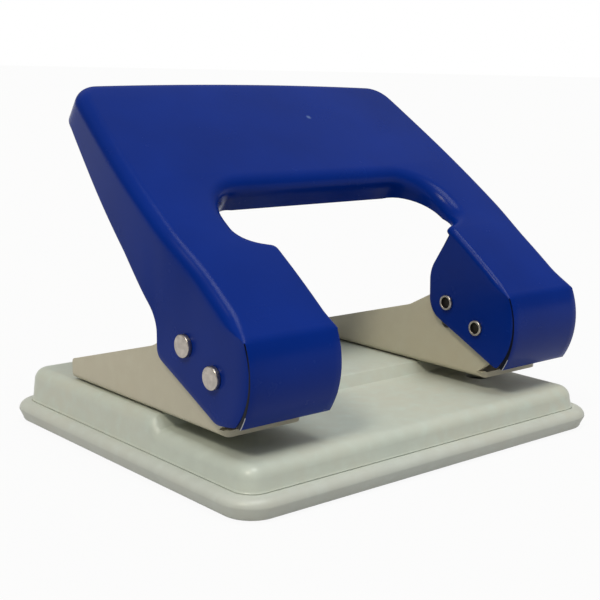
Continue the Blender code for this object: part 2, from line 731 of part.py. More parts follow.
def lever_columns():
    """All columns of the right half of the lever, from the top round to the opening."""
    top_corner = (side_half_width(TOP_REACH), TOP_REACH - TOP_BOW)
    last = TOP_REACH - TOP_CORNER_RADIUS - TOP_BOW
    side_end = Vector((last, face_height(last) - RIM_DEPTH))
    below = (side_half_width(side_end.x), side_end.x)
    corner = fillet((0.0, TOP_REACH), top_corner, below, TOP_CORNER_RADIUS, CORNER_STEPS)
    crown = []
    for step in range(SKIRT_STEPS + 1):
        share = step / SKIRT_STEPS
        x = corner[0].x * share
        crown.append(Vector((x, TOP_REACH - (TOP_REACH - corner[0].y) * share * share)))
    top = [Vector((-crown[1].x, crown[1].y))] + crown + corner[1:] + [Vector(below)]
    columns = rim_columns(top, [SIDE_FOLD_RADIUS] * len(top), [RIM_DEPTH] * len(top))
    outer = side_columns(OUTER_EDGE, side_end, side_half_width, 1.0, SIDE_FOLD_RADIUS)
    columns.extend(reversed(outer))
    foot = HALF_SPACING + ARM_WIDTH / 2
    columns.append(corner_column(foot, 1.0, SIDE_FOLD_RADIUS))
    inside = HALF_SPACING - ARM_WIDTH / 2
    columns.append(corner_column(inside, -1.0, ARM_FOLD_RADIUS))

    opening = rounded_outline((
        (inside, NECK_REACH - 2 * NECK_RADIUS, 0.0),
        (inside, NECK_REACH, NECK_RADIUS),
        (OPENING_HALF_WIDTH, OPENING_LOBE_REACH, OPENING_LOBE_RADIUS),
        (OPENING_HALF_WIDTH, OPENING_TOP, OPENING_TOP_RADIUS),
        (0.0, OPENING_TOP, 0.0),
    ), closed=False)
    neck = opening[1]
    neck_end = Vector((neck.y, face_height(neck.y) - NECK_DEPTH))
    columns.extend(side_columns(INNER_EDGE, neck_end, lambda s: inside, -1.0, ARM_FOLD_RADIUS))
    opening.append(Vector((-opening[-2].x, OPENING_TOP)))
    lobe_start = 2 + CORNER_STEPS
    lobe_end = lobe_start + CORNER_STEPS
    corner_end = lobe_end + CORNER_STEPS
    radii = []
    depths = []
    for index in range(len(opening)):
        share = min(max((index - lobe_start) / (lobe_end - lobe_start), 0.0), 1.0)
        deep = min(max((index - lobe_start) / (corner_end - lobe_start), 0.0), 1.0)
        radii.append(ARM_FOLD_RADIUS + (OPENING_FOLD_RADIUS - ARM_FOLD_RADIUS) * share)
        depths.append(NECK_DEPTH + (OPENING_RIM_DEPTH - NECK_DEPTH) * deep)
    columns.extend(rim_columns(opening[1:], radii[1:], depths[1:]))
    return columns


def build_lever(parent):
    """Pressed lever: face, folded flanges, open-seamed noses and the rimmed opening."""
    columns = lever_columns()
    bm = bmesh.new()
    grid = [[bm.verts.new(point) for point in column] for column in columns]
    for near, far in zip(grid, grid[1:]):
        for index in range(len(near) - 1):
            bm.faces.new((near[index], near[index + 1], far[index + 1], far[index]))
    face = bm.faces.new([column[0] for column in grid])
    face_up(bm, face)
    pieces = [face]
    for step in range(1, CROWN_STEPS + 1):
        s = -BEND_AHEAD + (ARM_CROWN_REACH + BEND_AHEAD) * step / CROWN_STEPS
        around = {edge for piece in pieces for edge in piece.edges}
        corners = {vert for piece in pieces for vert in piece.verts}
        split = bmesh.ops.bisect_plane(bm, geom=[*pieces, *around, *corners],
                                       plane_co=(0.0, s, 0.0), plane_no=(0.0, 1.0, 0.0))
        pieces = [item for item in split["geom"] if isinstance(item, bmesh.types.BMFace)]
    for vert in {vert for piece in pieces for vert in piece.verts}:
        vert.co.z = face_height(vert.co.y)
    mesh = bpy.data.meshes.new("lever")
    bm.to_mesh(mesh)
    bm.free()
    lever = add_object("lever", mesh, blue_enamel("lever_enamel"), parent)
    mirror_x(lever)
    solidify(lever, LEVER_SHEET)
    for name, place in pin_places().items():
        for side, sign in SIDES:
            centre = (sign * HALF_SPACING, *place)
            hole = "lever_" + name + "_hole_" + side
            length = ARM_WIDTH + 2 * CUT_OVERRUN
            cut(lever, cylinder_cutter(hole, PIN_HOLE_RADIUS, length, centre, "X", parent))
    cut_seams(lever, parent)
    return lever


def both_sides(outline, near, far):
    """Prisms of one outline at both flanges of both arms, from near to far off its middle."""
    bm = bmesh.new()
    for sign in (-1, 1):
        for hand in (-1, 1):
            ends = sorted((sign * HALF_SPACING + hand * near, sign * HALF_SPACING + hand * far))
            add_prism(bm, outline, *ends, side_view)
    return bm


def cut_seams(lever, parent):
    """Set the flanges back from each nose and open the seams beside it."""
    inside = ARM_WIDTH / 2 - LEVER_SHEET
    front = [Vector(point) for point in FLANGE_FRONT]
    ahead = front[-1].x - 2 * CUT_OVERRUN
    outline = front + [Vector((ahead, front[-1].y)), Vector((ahead, front[0].y))]
    bm = both_sides(outline, inside - SEAM_WIDTH / 2, ARM_WIDTH / 2 + CUT_OVERRUN)
    cut(lever, add_object("flange_fronts", mesh_from(bm, "flange_fronts"), None, parent, cutters))

    nose = nose_line()[FOLD_STEPS - 1:]
    depth = LEVER_SHEET + CUT_OVERRUN / 2
    before = [Vector((s - CUT_OVERRUN, b)) for s, b in nose]
    behind = [Vector((s + depth, b)) for s, b in nose]
    tail = Vector((0.0, -CUT_OVERRUN))
    outline = before + [before[-1] + tail, behind[-1] + tail] + behind[::-1]
    bm = both_sides(outline, inside - SEAM_WIDTH, inside + LEVER_SHEET * FINE_SHARE)
    cut(lever, add_object("seams", mesh_from(bm, "seams"), None, parent, cutters))


def pin_places():
    """Where the two pins pass through an arm, as (S, B) in the lever's frame."""
    drive_s = DRIVE_RADIUS * math.cos(DRIVE_BELOW_FACE)
    drive_b = -DRIVE_RADIUS * math.sin(DRIVE_BELOW_FACE)
    return {"pivot": (0.0, 0.0), "drive": (drive_s, drive_b)}


def build_pins(parent):
    """Semi-tubular rivets through both flanges of each arm, heads on the outer side."""
    shank = RIVET_SHANK_DIAMETER / 2
    head = RIVET_HEAD_DIAMETER / 2
    clinch = RIVET_CLINCH_DIAMETER / 2
    bore = RIVET_BORE_DIAMETER / 2
    seat = ARM_WIDTH / 2 + SEAT_GAP
    head_top = seat + RIVET_HEAD_HEIGHT
    clinch_end = -seat - RIVET_CLINCH_HEIGHT
    soft = RIVET_HEAD_ROUND
    lip = RIVET_CLINCH_HEIGHT / 3
    profile = [(0.0, head_top), (head - soft, head_top), (head, head_top - soft)]
    profile += [(head, seat), (shank, seat), (shank, -seat), (clinch - lip, -seat)]
    profile += [(clinch, -seat - lip), (clinch - lip, clinch_end), (bore + lip, clinch_end)]
    profile += [(bore, clinch_end + lip), (bore, clinch_end + RIVET_BORE_DEPTH)]
    profile += [(0.0, clinch_end + RIVET_BORE_DEPTH)]
    for name, place in pin_places().items():
        for side, sign in SIDES:
            pin = name + "_rivet_" + side
            centre = (sign * HALF_SPACING, *place)
            turned(pin, profile, nickel_plate(pin + "_nickel"), centre, "X", parent, sign < 0)


def build_sleeve(side, sign):
    """Spacer tube round the pivot rivet, between the cheeks of a bracket."""
    inner = PIN_HOLE_RADIUS
    outer = inner + SLEEVE_WALL
    half = BRACKET_WIDTH / 2 - BRACKET_SHEET - SEAT_GAP
    profile = [(outer, half), (outer, -half), (inner, -half), (inner, half)]
    name = "pivot_sleeve_" + side
    centre = (sign * HALF_SPACING, PIVOT_Y, PIVOT_Z)
    turned(name, profile, nickel_plate(name + "_zinc"), centre, "X")


def build_fixings():
    """Rivets that hold each bracket down to the land of the base plate."""
    shank = RIVET_SHANK_DIAMETER / 2
    head = FIXING_HEAD_DIAMETER / 2
    tail = FIXING_TAIL_DIAMETER / 2
    bore = RIVET_BORE_DIAMETER / 2
    seat = BRACKET_SHEET + SEAT_GAP
    under = -(PLATE_SHEET + 2 * SEAT_GAP)
    head_top = seat + FIXING_HEAD_HEIGHT
    tail_end = under - FIXING_TAIL_HEIGHT
    lip = FIXING_TAIL_HEIGHT / 3
    profile = [(0.0, head_top)]
    for step in range(1, CORNER_STEPS + 1):
        turn = step / CORNER_STEPS * math.pi / 2
        height = seat + lip + (FIXING_HEAD_HEIGHT - lip) * math.cos(turn)
        profile.append((head * math.sin(turn), height))
    profile += [(head, seat), (shank, seat), (shank, under), (tail - lip, under)]
    profile += [(tail, under - lip), (tail - lip, tail_end), (bore + lip, tail_end)]
    profile += [(bore, tail_end + lip), (bore, under), (0.0, under)]
    for side, sign in SIDES:
        for row, y in fixing_rows():
            name = "fixing_rivet_" + row + "_" + side
            centre = (sign * HALF_SPACING, y, BRACKET_FLOOR)
            turned(name, profile, nickel_plate(name + "_nickel"), centre)


def build_punch(side, sign, parent):
    """Turned punch with a slotted head and a hollow-ground tip."""
    shank = PUNCH_DIAMETER / 2
    head = PUNCH_HEAD_DIAMETER / 2
    half_slot = RIVET_SHANK_DIAMETER / 2 + SLOT_PLAY
    half_head = half_slot + PUNCH_HEAD_WALL
    tip = BRACKET_FLOOR + SEAT_GAP - DRIVE_REST_Z
    soft = PUNCH_HEAD_CHAMFER
    profile = [(0.0, half_head), (head - soft, half_head), (head, half_head - soft)]
    profile += [(head, -half_head), (shank, -half_head), (shank, tip), (0.0, tip)]
    name = "punch_" + side
    punch = turned(name, profile, tool_steel(name + "_steel"), (0.0, 0.0, 0.0), parent=parent)

    nearest = DRIVE_RADIUS * min(math.cos(DRIVE_START), math.cos(DRIVE_END)) - PUNCH_SETBACK
    farthest = DRIVE_RADIUS - PUNCH_SETBACK
    reach = half_slot + (SEAT_GAP - SLOT_PLAY)
    slot = rounded_outline((
        (nearest - reach, -half_slot, reach * ROUND_SHARE),
        (farthest + reach, -half_slot, reach * ROUND_SHARE),
        (farthest + reach, half_slot, reach * ROUND_SHARE),
        (nearest - reach, half_slot, reach * ROUND_SHARE),
    ))
    width = head + CUT_OVERRUN
    cut(punch, prism(name + "_slot", slot, -width, width, side_view, cutters, parent))

    rise = PUNCH_TIP_HOLLOW
    hollow = (shank * shank + rise * rise) / (2 * rise)
    centre = (0.0, 0.0, tip + rise - hollow)
    length = PUNCH_DIAMETER + 2 * CUT_OVERRUN
    cut(punch, cylinder_cutter(name + "_tip", hollow, length, centre, "X", parent))
    return punch


def build_spring_washer(side, parent):
    """Plain washer between the punch's head and its spring."""
    half_head = RIVET_SHANK_DIAMETER / 2 + SLOT_PLAY + PUNCH_HEAD_WALL
    top = -half_head - SEAT_GAP
    low = top - WASHER_THICKNESS
    outer = PUNCH_HEAD_DIAMETER / 2
    profile = [(outer, top), (outer, low), (PUNCH_HOLE_RADIUS, low), (PUNCH_HOLE_RADIUS, top)]
    name = "spring_washer_" + side
    turned(name, profile, nickel_plate(name + "_zinc"), (0.0, 0.0, 0.0), parent=parent)


def spring_points():
    """Centre line of a return spring, seen from the drive pin's height at rest."""
    half_head = RIVET_SHANK_DIAMETER / 2 + SLOT_PLAY + PUNCH_HEAD_WALL
    top = -half_head - 2 * SEAT_GAP - WASHER_THICKNESS - SPRING_WIRE / 2
    seat = BRACKET_FLOOR + BRACKET_SHEET + SEAT_GAP
    bottom = seat + SPRING_WIRE / 2 - DRIVE_REST_Z
    end_rise = SPRING_WIRE + SPRING_END_GAP
    middle_rise = (top - bottom - 2 * end_rise) / (SPRING_TURNS - 2)
    points = []
    count = SPRING_TURNS * SPRING_POINTS_PER_TURN
    for step in range(count + 1):
        turns = step / SPRING_POINTS_PER_TURN
        height = bottom + end_rise * min(turns, 1.0)
        height += middle_rise * min(max(turns - 1.0, 0.0), SPRING_TURNS - 2)
        height += end_rise * max(turns - (SPRING_TURNS - 1), 0.0)
        turn = turns * 2 * math.pi
        x = SPRING_MEAN_DIAMETER / 2 * math.cos(turn)
        y = SPRING_MEAN_DIAMETER / 2 * math.sin(turn)
        points.append(Vector((x, y, height)))
    return points


def least_self_gap(points):
    """Least clear gap between one turn of a spring and the next."""
    least = None
    apart = SPRING_POINTS_PER_TURN // 2 + 1
    for first, near in enumerate(points):
        for far in points[first + apart:]:
            gap = (near - far).length - SPRING_WIRE
            least = gap if least is None else min(least, gap)
    return least


def build_spring(side, parent):
    """Compression spring that lifts the punch and the lever again."""
    name = "return_spring_" + side
    curve = bpy.data.curves.new(name, "CURVE")
    curve.dimensions = "3D"
    curve.bevel_depth = SPRING_WIRE / 2
    curve.bevel_resolution = 1
    curve.use_fill_caps = True
    spline = curve.splines.new("POLY")
    points = spring_points()
    spline.points.add(len(points) - 1)
    for target, point in zip(spline.points, points):
        target.co = (*point, 1.0)
    curve.materials.append(tool_steel(name + "_steel"))
    spring = bpy.data.objects.new(name, curve)
    parts.objects.link(spring)
    spring.parent = parent
    print(name, "least gap to itself, mm:", round(least_self_gap(points) / MM, 2))
    return spring


def main():
    """Build every piece of the punch."""
    build_base_plate()
    tray_slide = add_empty("tray_slide", (0.0, 0.0, 0.0))
    build_chip_tray(tray_slide)
    pivot = add_empty("lever_pivot", (0.0, PIVOT_Y, PIVOT_Z), REST_ANGLE)
    build_lever(pivot)
    build_pins(pivot)
    build_fixings()
    for side, sign in SIDES:
        build_bracket(side, sign)
        build_sleeve(side, sign)
        axis = (sign * HALF_SPACING, PUNCH_Y, DRIVE_REST_Z)
        punch_axis = add_empty("punch_axis_" + side, axis)
        build_punch(side, sign, punch_axis)
        build_spring_washer(side, punch_axis)
        build_spring(side, punch_axis)
    print("stroke, mm:", round(STROKE / MM, 3))


main()
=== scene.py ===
"""Looks of a two-hole desk punch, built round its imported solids.

Everything is in metres, +Z up, in the same frame as the solids. The lever's own frame
is (x, s, b): s runs along its face from the pivot and b stands square to the face.
"""
import json
import math

import bmesh
import bpy
from bpy.props import FloatProperty, FloatVectorProperty, IntProperty, PointerProperty
from mathutils import Matrix, Vector


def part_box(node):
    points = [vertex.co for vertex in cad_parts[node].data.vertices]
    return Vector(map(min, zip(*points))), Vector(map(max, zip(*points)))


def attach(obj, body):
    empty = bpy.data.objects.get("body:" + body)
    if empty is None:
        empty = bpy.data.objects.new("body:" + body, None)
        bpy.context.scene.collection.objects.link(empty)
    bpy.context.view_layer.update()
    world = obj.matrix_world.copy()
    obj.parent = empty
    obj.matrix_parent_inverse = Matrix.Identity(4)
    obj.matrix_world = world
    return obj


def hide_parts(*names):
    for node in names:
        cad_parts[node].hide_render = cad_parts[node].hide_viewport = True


bl_info = {
    "name": "Two-hole desk punch",
    "version": (1, 0, 0),
    "blender": (4, 5, 0),
    "location": "3D View > Sidebar > Desk punch",
    "description": "Builds the finished pieces of a desk punch round its solids",
    "category": "Add Mesh",
}

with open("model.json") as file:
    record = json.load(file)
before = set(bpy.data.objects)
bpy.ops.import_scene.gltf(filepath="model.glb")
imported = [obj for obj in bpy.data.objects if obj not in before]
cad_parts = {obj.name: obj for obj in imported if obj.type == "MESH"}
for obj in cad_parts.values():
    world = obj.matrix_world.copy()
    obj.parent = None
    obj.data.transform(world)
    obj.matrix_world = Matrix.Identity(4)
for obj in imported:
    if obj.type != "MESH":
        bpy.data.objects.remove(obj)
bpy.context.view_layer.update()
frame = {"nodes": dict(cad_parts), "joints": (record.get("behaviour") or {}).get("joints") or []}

MM = 0.001
JOINTS = {joint["name"]: joint for joint in frame["joints"]}
SIDES = (("left", -1), ("right", 1))

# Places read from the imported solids
PIVOT = Vector(JOINTS["lever_hinge"]["pos_m"])
TRAY_LOW, TRAY_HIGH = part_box("chip_tray")
PLATE_LOW, PLATE_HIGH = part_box("base_plate")
PUNCH_LOW, PUNCH_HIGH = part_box("punch_right")
BRACKET_LOW, BRACKET_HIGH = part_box("bracket_right")
HALF_SPACING = (PUNCH_LOW.x + PUNCH_HIGH.x) / 2
PUNCH_Y = (PUNCH_LOW.y + PUNCH_HIGH.y) / 2
BASE_WIDTH = TRAY_HIGH.x - TRAY_LOW.x
BASE_DEPTH = TRAY_HIGH.y - TRAY_LOW.y
BRACKET_FLOOR = BRACKET_LOW.z
BRACKET_WIDTH = BRACKET_HIGH.x - BRACKET_LOW.x
BRACKET_REAR = BRACKET_HIGH.y - PIVOT.y
PIVOT_ABOVE_BRACKET = PIVOT.z - BRACKET_FLOOR

# Lever
REST_ANGLE = math.radians(34.3)
FACE_HEIGHT = 13.0 * MM
ARM_CROWN = 1.1 * MM
ARM_CROWN_REACH = 21.0 * MM
FACE_RISE = 0.3 * MM
ARM_WIDTH = 24.9 * MM
BEND_AHEAD = 2.5 * MM
BEND_RADIUS = 4.0 * MM
NOSE_REACH = 9.5 * MM
NOSE_DROP = 16.0 * MM
NOSE_BELLY = math.radians(27.0)
SIDE_FOLD_RADIUS = 3.2 * MM
ARM_FOLD_RADIUS = 1.7 * MM
OPENING_FOLD_RADIUS = 4.0 * MM
TOP_REACH = 82.3 * MM
TOP_BOW = 1.2 * MM
TOP_CORNER_RADIUS = 7.0 * MM
RIM_DEPTH = 8.6 * MM
OPENING_HALF_WIDTH = 34.5 * MM
OPENING_TOP = 41.8 * MM
OPENING_TOP_RADIUS = 10.0 * MM
OPENING_LOBE_REACH = 24.5 * MM
OPENING_LOBE_RADIUS = 6.4 * MM
OPENING_RIM_DEPTH = 7.8 * MM
NECK_REACH = 22.3 * MM
NECK_RADIUS = 2.2 * MM
NECK_DEPTH = 1.9 * MM
SIDE_BOW = (
    (-2.5 * MM, 0.0 * MM),
    (14.4 * MM, 0.0 * MM),
    (29.0 * MM, 1.0 * MM),
    (49.5 * MM, 0.5 * MM),
    (70.5 * MM, -1.5 * MM),
    (82.3 * MM, -3.1 * MM),
)
OUTER_EDGE = (
    (-10.9 * MM, -3.4 * MM, 1.6 * MM),
    (-6.3 * MM, -7.5 * MM, 5.0 * MM),
    (17.0 * MM, -11.0 * MM, 2.8 * MM),
    (21.3 * MM, -3.9 * MM, 9.0 * MM),
    (38.0 * MM, 0.1 * MM, 30.0 * MM),
)
INNER_EDGE = (
    (-10.8 * MM, -3.7 * MM, 1.0 * MM),
    (14.0 * MM, -7.4 * MM, 6.0 * MM),
    (20.2 * MM, 1.0 * MM, 8.0 * MM),
)
FLANGE_SETBACK_TOP = 0.3 * MM
FLANGE_SETBACK = 0.5 * MM
FLANGE_SETBACK_SHARE = 0.3
FLANGE_EDGE_TURN = 0.35 * MM
FLANGE_EDGE_BAND = 1.9 * MM
FRONT_FADE = 8.0 * MM
SEAM_TOP_GAP = 0.3 * MM
SEAM_FOOT_GAP = 0.45 * MM
SEAM_EDGE_SHARE = 0.08
SEAM_REACH = 1.5 * MM
SEAM_BACK = -2.0 * MM
# How far beside the seams the painted shade and the pale bare steel with its painted highlight
# reach.
SHADE_AND_BARE_REACH = 1.4 * MM
# Tilt of the edge faces that get pale bare steel with a painted highlight.
BARE_SHEEN_TILT = (0.25, 0.97)
NOSE_STRIP_STEPS = 12
TOP_CORNER_STEPS = 10
TOP_CROWN_STEPS = 20
LOBE_STEPS = 10

# Tray and base plate
BASE_TRIM = 0.6 * MM
BASE_CORNER_RADIUS = 8.0 * MM
BASE_CORNER_LEAST = 1.0 * MM
TRAY_FLOOR = 1.4 * MM
TRAY_FOOT_INSET = 0.9 * MM
TRAY_FOOT_CHAMFER = 0.9 * MM
TRAY_LIP_SIDE = 2.8 * MM
TRAY_LIP_RISE = 2.0 * MM
TRAY_LIP_ROUND = 2.4 * MM
TRAY_GROOVE_FLOOR = 2.9 * MM
TRAY_RIB_WIDTH = 1.4 * MM
TRAY_RIB_HEIGHT = 6.2 * MM
LIP_SEAM = 0.02 * MM
PLATE_SHEET = 1.2 * MM
PLATE_INSET = 3.3 * MM
PLATE_WALL_DRAFT = 0.6 * MM
PLATE_CREST_RADIUS = 3.2 * MM
PLATE_BEAD = 0.16 * MM
TABLE_HEIGHT = 10.2 * MM
LAND_RISE = 2.9 * MM
STOP_SLOPE_LENGTH = 3.0 * MM
EDGE_TO_HOLE = 12.0 * MM
STOP_Y = PUNCH_Y + EDGE_TO_HOLE
LAND_HEIGHT = TABLE_HEIGHT + LAND_RISE

# Brackets and what holds them down
BRACKET_SHEET = 1.4 * MM
BRACKET_BEND_RADIUS = 1.7 * MM
BRACKET_NOSE = 1.3 * MM
BRACKET_NOSE_RADIUS = 2.6 * MM
BRACKET_REAR_HEIGHT = 4.9 * MM
BRACKET_REAR_ROUND = 1.0 * MM
BRACKET_KINK_REACH = 24.0 * MM
BRACKET_KINK_HEIGHT = 14.7 * MM
BRACKET_KINK_RADIUS = 9.0 * MM
BRACKET_CHEEK_RADIUS = 8.5 * MM
BRACKET_SHOULDER_REACH = 11.5 * MM
BRACKET_SHOULDER_RADIUS = 5.0 * MM
FIXING_HEAD_RADIUS = 3.3 * MM
FIXING_HEAD_HEIGHT = 1.5 * MM
FIXING_TAIL_RADIUS = 2.5 * MM
FIXING_TAIL_HEIGHT = 0.9 * MM
FIXING_BORE_RADIUS = 1.1 * MM
FIXING_FRONT_SETBACK = 11.0 * MM
FIXING_REAR_INSET = 8.5 * MM
OVERRUN = 3.0 * MM

# Punches
PUNCH_RADIUS = 2.8 * MM
SLOT_PLAY = 0.45 * MM
SPRING_WIRE = 0.7 * MM
SPRING_TURNS = 4
SPRING_POINTS = 28
SPRING_END_RISE = 1.2 * MM

# Pins
DRIVE_RADIUS = 10.92 * MM
DRIVE_BELOW_FACE = math.radians(8.4)
SHANK_RADIUS = 1.5 * MM
HEAD_RADIUS = 2.5 * MM
HEAD_HEIGHT = 1.1 * MM
CLINCH_RADIUS = 1.9 * MM
CLINCH_HEIGHT = 0.8 * MM
BORE_MOUTH = 1.35 * MM
BORE_DEPTH = 0.76 * MM
BORE_ROUND = 0.2 * MM
HEAD_ROUND = 0.25 * MM
SEAT_ROUND = 0.1 * MM
PIN_PLAY = 0.05 * MM
SEAT_GAP = 0.3 * MM

# Floor and lamps
FLOOR_GLOW = 0.93
FLOOR_REACH = 40.0
FLOOR_DROP = 0.2 * MM
OVERHEAD_SPREAD = math.radians(30.0)
OVERHEAD_TOWARD = (0.0, -0.25, 1.0)
OVERHEAD_TINT = (0.97, 1.0, 0.98)
SIDE_SPREAD = math.radians(14.0)
SIDE_TOWARD = (-0.62, -0.25, 0.85)
SIDE_TINT = (1.0, 0.93, 0.78)

# Camera, fitted to the photograph
CAMERA_PLACE = (-190.98 * MM, -217.07 * MM, 87.52 * MM)
CAMERA_YAW = math.radians(41.048)
CAMERA_PITCH = math.radians(11.046)
CAMERA_ROLL = math.radians(1.189)
CAMERA_LENS = 70.98


class LeverLook(bpy.types.PropertyGroup):
    """Sizes and colours of the lever."""

    sheet: FloatProperty(name="Sheet", description="Thickness of the pressed sheet",
                         default=1.2 * MM, unit="LENGTH")
    edge: FloatProperty(name="Edge", description="Rounding of the sheet's cut edges",
                        default=0.22 * MM, unit="LENGTH")
    spacing: FloatProperty(name="Spacing", description="Longest step along an outline",
                           default=1.5 * MM, unit="LENGTH")
    fold_steps: IntProperty(name="Fold steps", description="Facets across a fold",
                            default=8, min=2)
    enamel: FloatVectorProperty(name="Enamel", description="Colour of the enamel",
                                default=(0.0005, 0.0190, 0.195), size=3, subtype="COLOR")


class BaseLook(bpy.types.PropertyGroup):
    """Colours of the base plate, the tray and the brackets."""

    plate: FloatVectorProperty(name="Plate", description="Colour of the base plate",
                               default=(0.51, 0.56, 0.50), size=3, subtype="COLOR")
    tray: FloatVectorProperty(name="Tray", description="Colour of the tray",
                              default=(0.49, 0.52, 0.48), size=3, subtype="COLOR")
    cream: FloatVectorProperty(name="Cream", description="Colour of the brackets",
                               default=(0.50, 0.47, 0.36), size=3, subtype="COLOR")


class SteelLook(bpy.types.PropertyGroup):
    """Colours of the bare metal pieces."""

    nickel: FloatVectorProperty(name="Nickel", description="Colour of the rivets",
                                default=(0.42, 0.38, 0.34), size=3, subtype="COLOR")
    steel: FloatVectorProperty(name="Steel", description="Colour of punches and springs",
                               default=(0.40, 0.40, 0.40), size=3, subtype="COLOR")
    # Painted shade: dark colour for the inside of the clinched ends, standing in for the shade in
    # their bores.
    bore: FloatVectorProperty(name="Bore", description="Colour inside the clinched ends",
                              default=(0.05, 0.045, 0.04), size=3, subtype="COLOR")


class StageLook(bpy.types.PropertyGroup):
    """Floor, lights and camera."""

    floor: FloatVectorProperty(name="Floor", description="Colour of the floor",
                               default=(0.55, 0.55, 0.55), size=3, subtype="COLOR")
    overhead: FloatProperty(name="Overhead lamp", description="Strength of the lamp above",
                            default=1.35)
    side: FloatProperty(name="Side lamp", description="Strength of the lamp on the left",
                        default=1.25)
    ceiling: FloatProperty(name="Ceiling", description="Brightness of the studio overhead",
                           default=0.52)
    walls: FloatProperty(name="Walls", description="Brightness of the studio's upper walls",
                         default=0.24)


# Outlines


def fillet(before, corner, after, radius, steps):
    """Points of the arc that rounds one corner of an outline."""
    corner = Vector(corner)
    back = (Vector(before) - corner).normalized()
    ahead = (Vector(after) - corner).normalized()
    half = back.angle(ahead) / 2
    reach = radius / math.tan(half)
    centre = corner + (back + ahead).normalized() * (radius / math.sin(half))
    start = corner + back * reach - centre
    end = corner + ahead * reach - centre
    sweep = start.angle(end)
    points = []
    for step in range(steps + 1):
        share = step / steps
        blend = start * math.sin((1 - share) * sweep) + end * math.sin(share * sweep)
        points.append(centre + blend / math.sin(sweep))
    return points


def rounded_outline(corners, steps=8, closed=True):
    """Outline through corners given as (u, v, radius), with each corner rounded."""
    points = []
    count = len(corners)
    for index, (u, v, radius) in enumerate(corners):
        at_end = not closed and index in (0, count - 1)
        if at_end or radius <= 0.0:
            points.append(Vector((u, v)))
            continue
        before = corners[index - 1][:2]
        after = corners[(index + 1) % count][:2]
        points.extend(fillet(before, (u, v), after, radius, steps))
    return points


def resample(points, spacing):
    """The same open outline with no step longer than spacing."""
    fine = [points[0]]
    for start, end in zip(points, points[1:]):
        count = max(math.ceil((end - start).length / spacing), 1)
        fine.extend(start.lerp(end, step / count) for step in range(1, count + 1))
    return fine


def path_shares(points):
    """How far along a run of points each one lies, as a share of the whole."""
    lengths = [0.0]
    for start, end in zip(points, points[1:]):
        lengths.append(lengths[-1] + (end - start).length)
    return [length / lengths[-1] for length in lengths]


def smooth(share):
    """Ease from 0 to 1 with level ends."""
    share = min(max(share, 0.0), 1.0)
    return share * share * (3.0 - 2.0 * share)


# Pieces


def add_piece(name, bm, materials, sharp=math.radians(35.0)):
    """Put a bmesh in the scene as a piece with smooth round faces."""
    mesh = bpy.data.meshes.new(name)
    bm.to_mesh(mesh)
    bm.free()
    for material in materials:
        mesh.materials.append(material)
    mesh.shade_smooth()
    mesh.set_sharp_from_angle(angle=sharp)
    piece = bpy.data.objects.new(name, mesh)
    bpy.context.scene.collection.objects.link(piece)
    return piece


def settle(piece, sharp=math.radians(35.0)):
    """Turn a piece's modifiers into plain mesh."""
    depsgraph = bpy.context.evaluated_depsgraph_get()
    settled = bpy.data.meshes.new_from_object(piece.evaluated_get(depsgraph))
    old = piece.data
    piece.modifiers.clear()
    piece.data = settled
    settled.name = piece.name
    bpy.data.meshes.remove(old)
    settled.shade_smooth()
    settled.set_sharp_from_angle(angle=sharp)
    return piece


def dress(piece, body, slot, *nodes):
    """Let a piece ride on a body and stand for the solids that it shows."""
    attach(piece, body)
    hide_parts(*nodes)
    return piece


def thicken(piece, thickness):
    """Give a skin the thickness of its sheet, on its inner side."""
    shell = piece.modifiers.new("sheet", "SOLIDIFY")
    shell.thickness = thickness
    shell.offset = -1.0
    shell.use_even_offset = True
    return shell


def cut(piece, cutter, operation="DIFFERENCE"):
    """Cut a piece with a cutter, or keep only what both hold."""
    boolean = piece.modifiers.new(cutter.name, "BOOLEAN")
    boolean.object = cutter
    boolean.operation = operation
    boolean.solver = "EXACT"
    return cutter


def discard(pieces):
    """Delete cutters that have done their work."""
    for piece in pieces:
        mesh = piece.data
        bpy.data.objects.remove(piece)
        bpy.data.meshes.remove(mesh)


def round_edges(piece, width, share_at, angle=math.radians(50.0), segments=2):
    """Round off a piece's sharp edges. share_at(place) scales the width there."""
    mesh = piece.data
    bm = bmesh.new()
    bm.from_mesh(mesh)
    weight = bm.edges.layers.float.new("bevel_weight_edge")
    for edge in bm.edges:
        if len(edge.link_faces) == 2 and edge.calc_face_angle() > angle:
            near, far = edge.verts
            edge[weight] = share_at((near.co + far.co) / 2)
    bm.to_mesh(mesh)
    bm.free()
    bevel = piece.modifiers.new("edges", "BEVEL")
    bevel.width = width
    bevel.segments = segments
    bevel.limit_method = "WEIGHT"
    bevel.use_clamp_overlap = False
    settle(piece)


def prism(name, outline, start, end, place):
    """Extrude an outline from start to end. place(u, v, w) gives a point of it."""
    bm = bmesh.new()
    near = [bm.verts.new(place(u, v, start)) for u, v in outline]
    far = [bm.verts.new(place(u, v, end)) for u, v in outline]
    bm.faces.new(near)
    bm.faces.new(far)
    for index in range(len(outline)):
        follow = (index + 1) % len(outline)
        bm.faces.new((near[index], near[follow], far[follow], far[index]))
    bmesh.ops.recalc_face_normals(bm, faces=bm.faces)
    return add_piece(name, bm, [])


def side_view(u, v, w):
    """Outline in Y and Z, extruded across X."""
    return (w, u, v)


def plan_view(u, v, w):
    """Outline in X and Y, extruded up Z."""
    return (u, v, w)


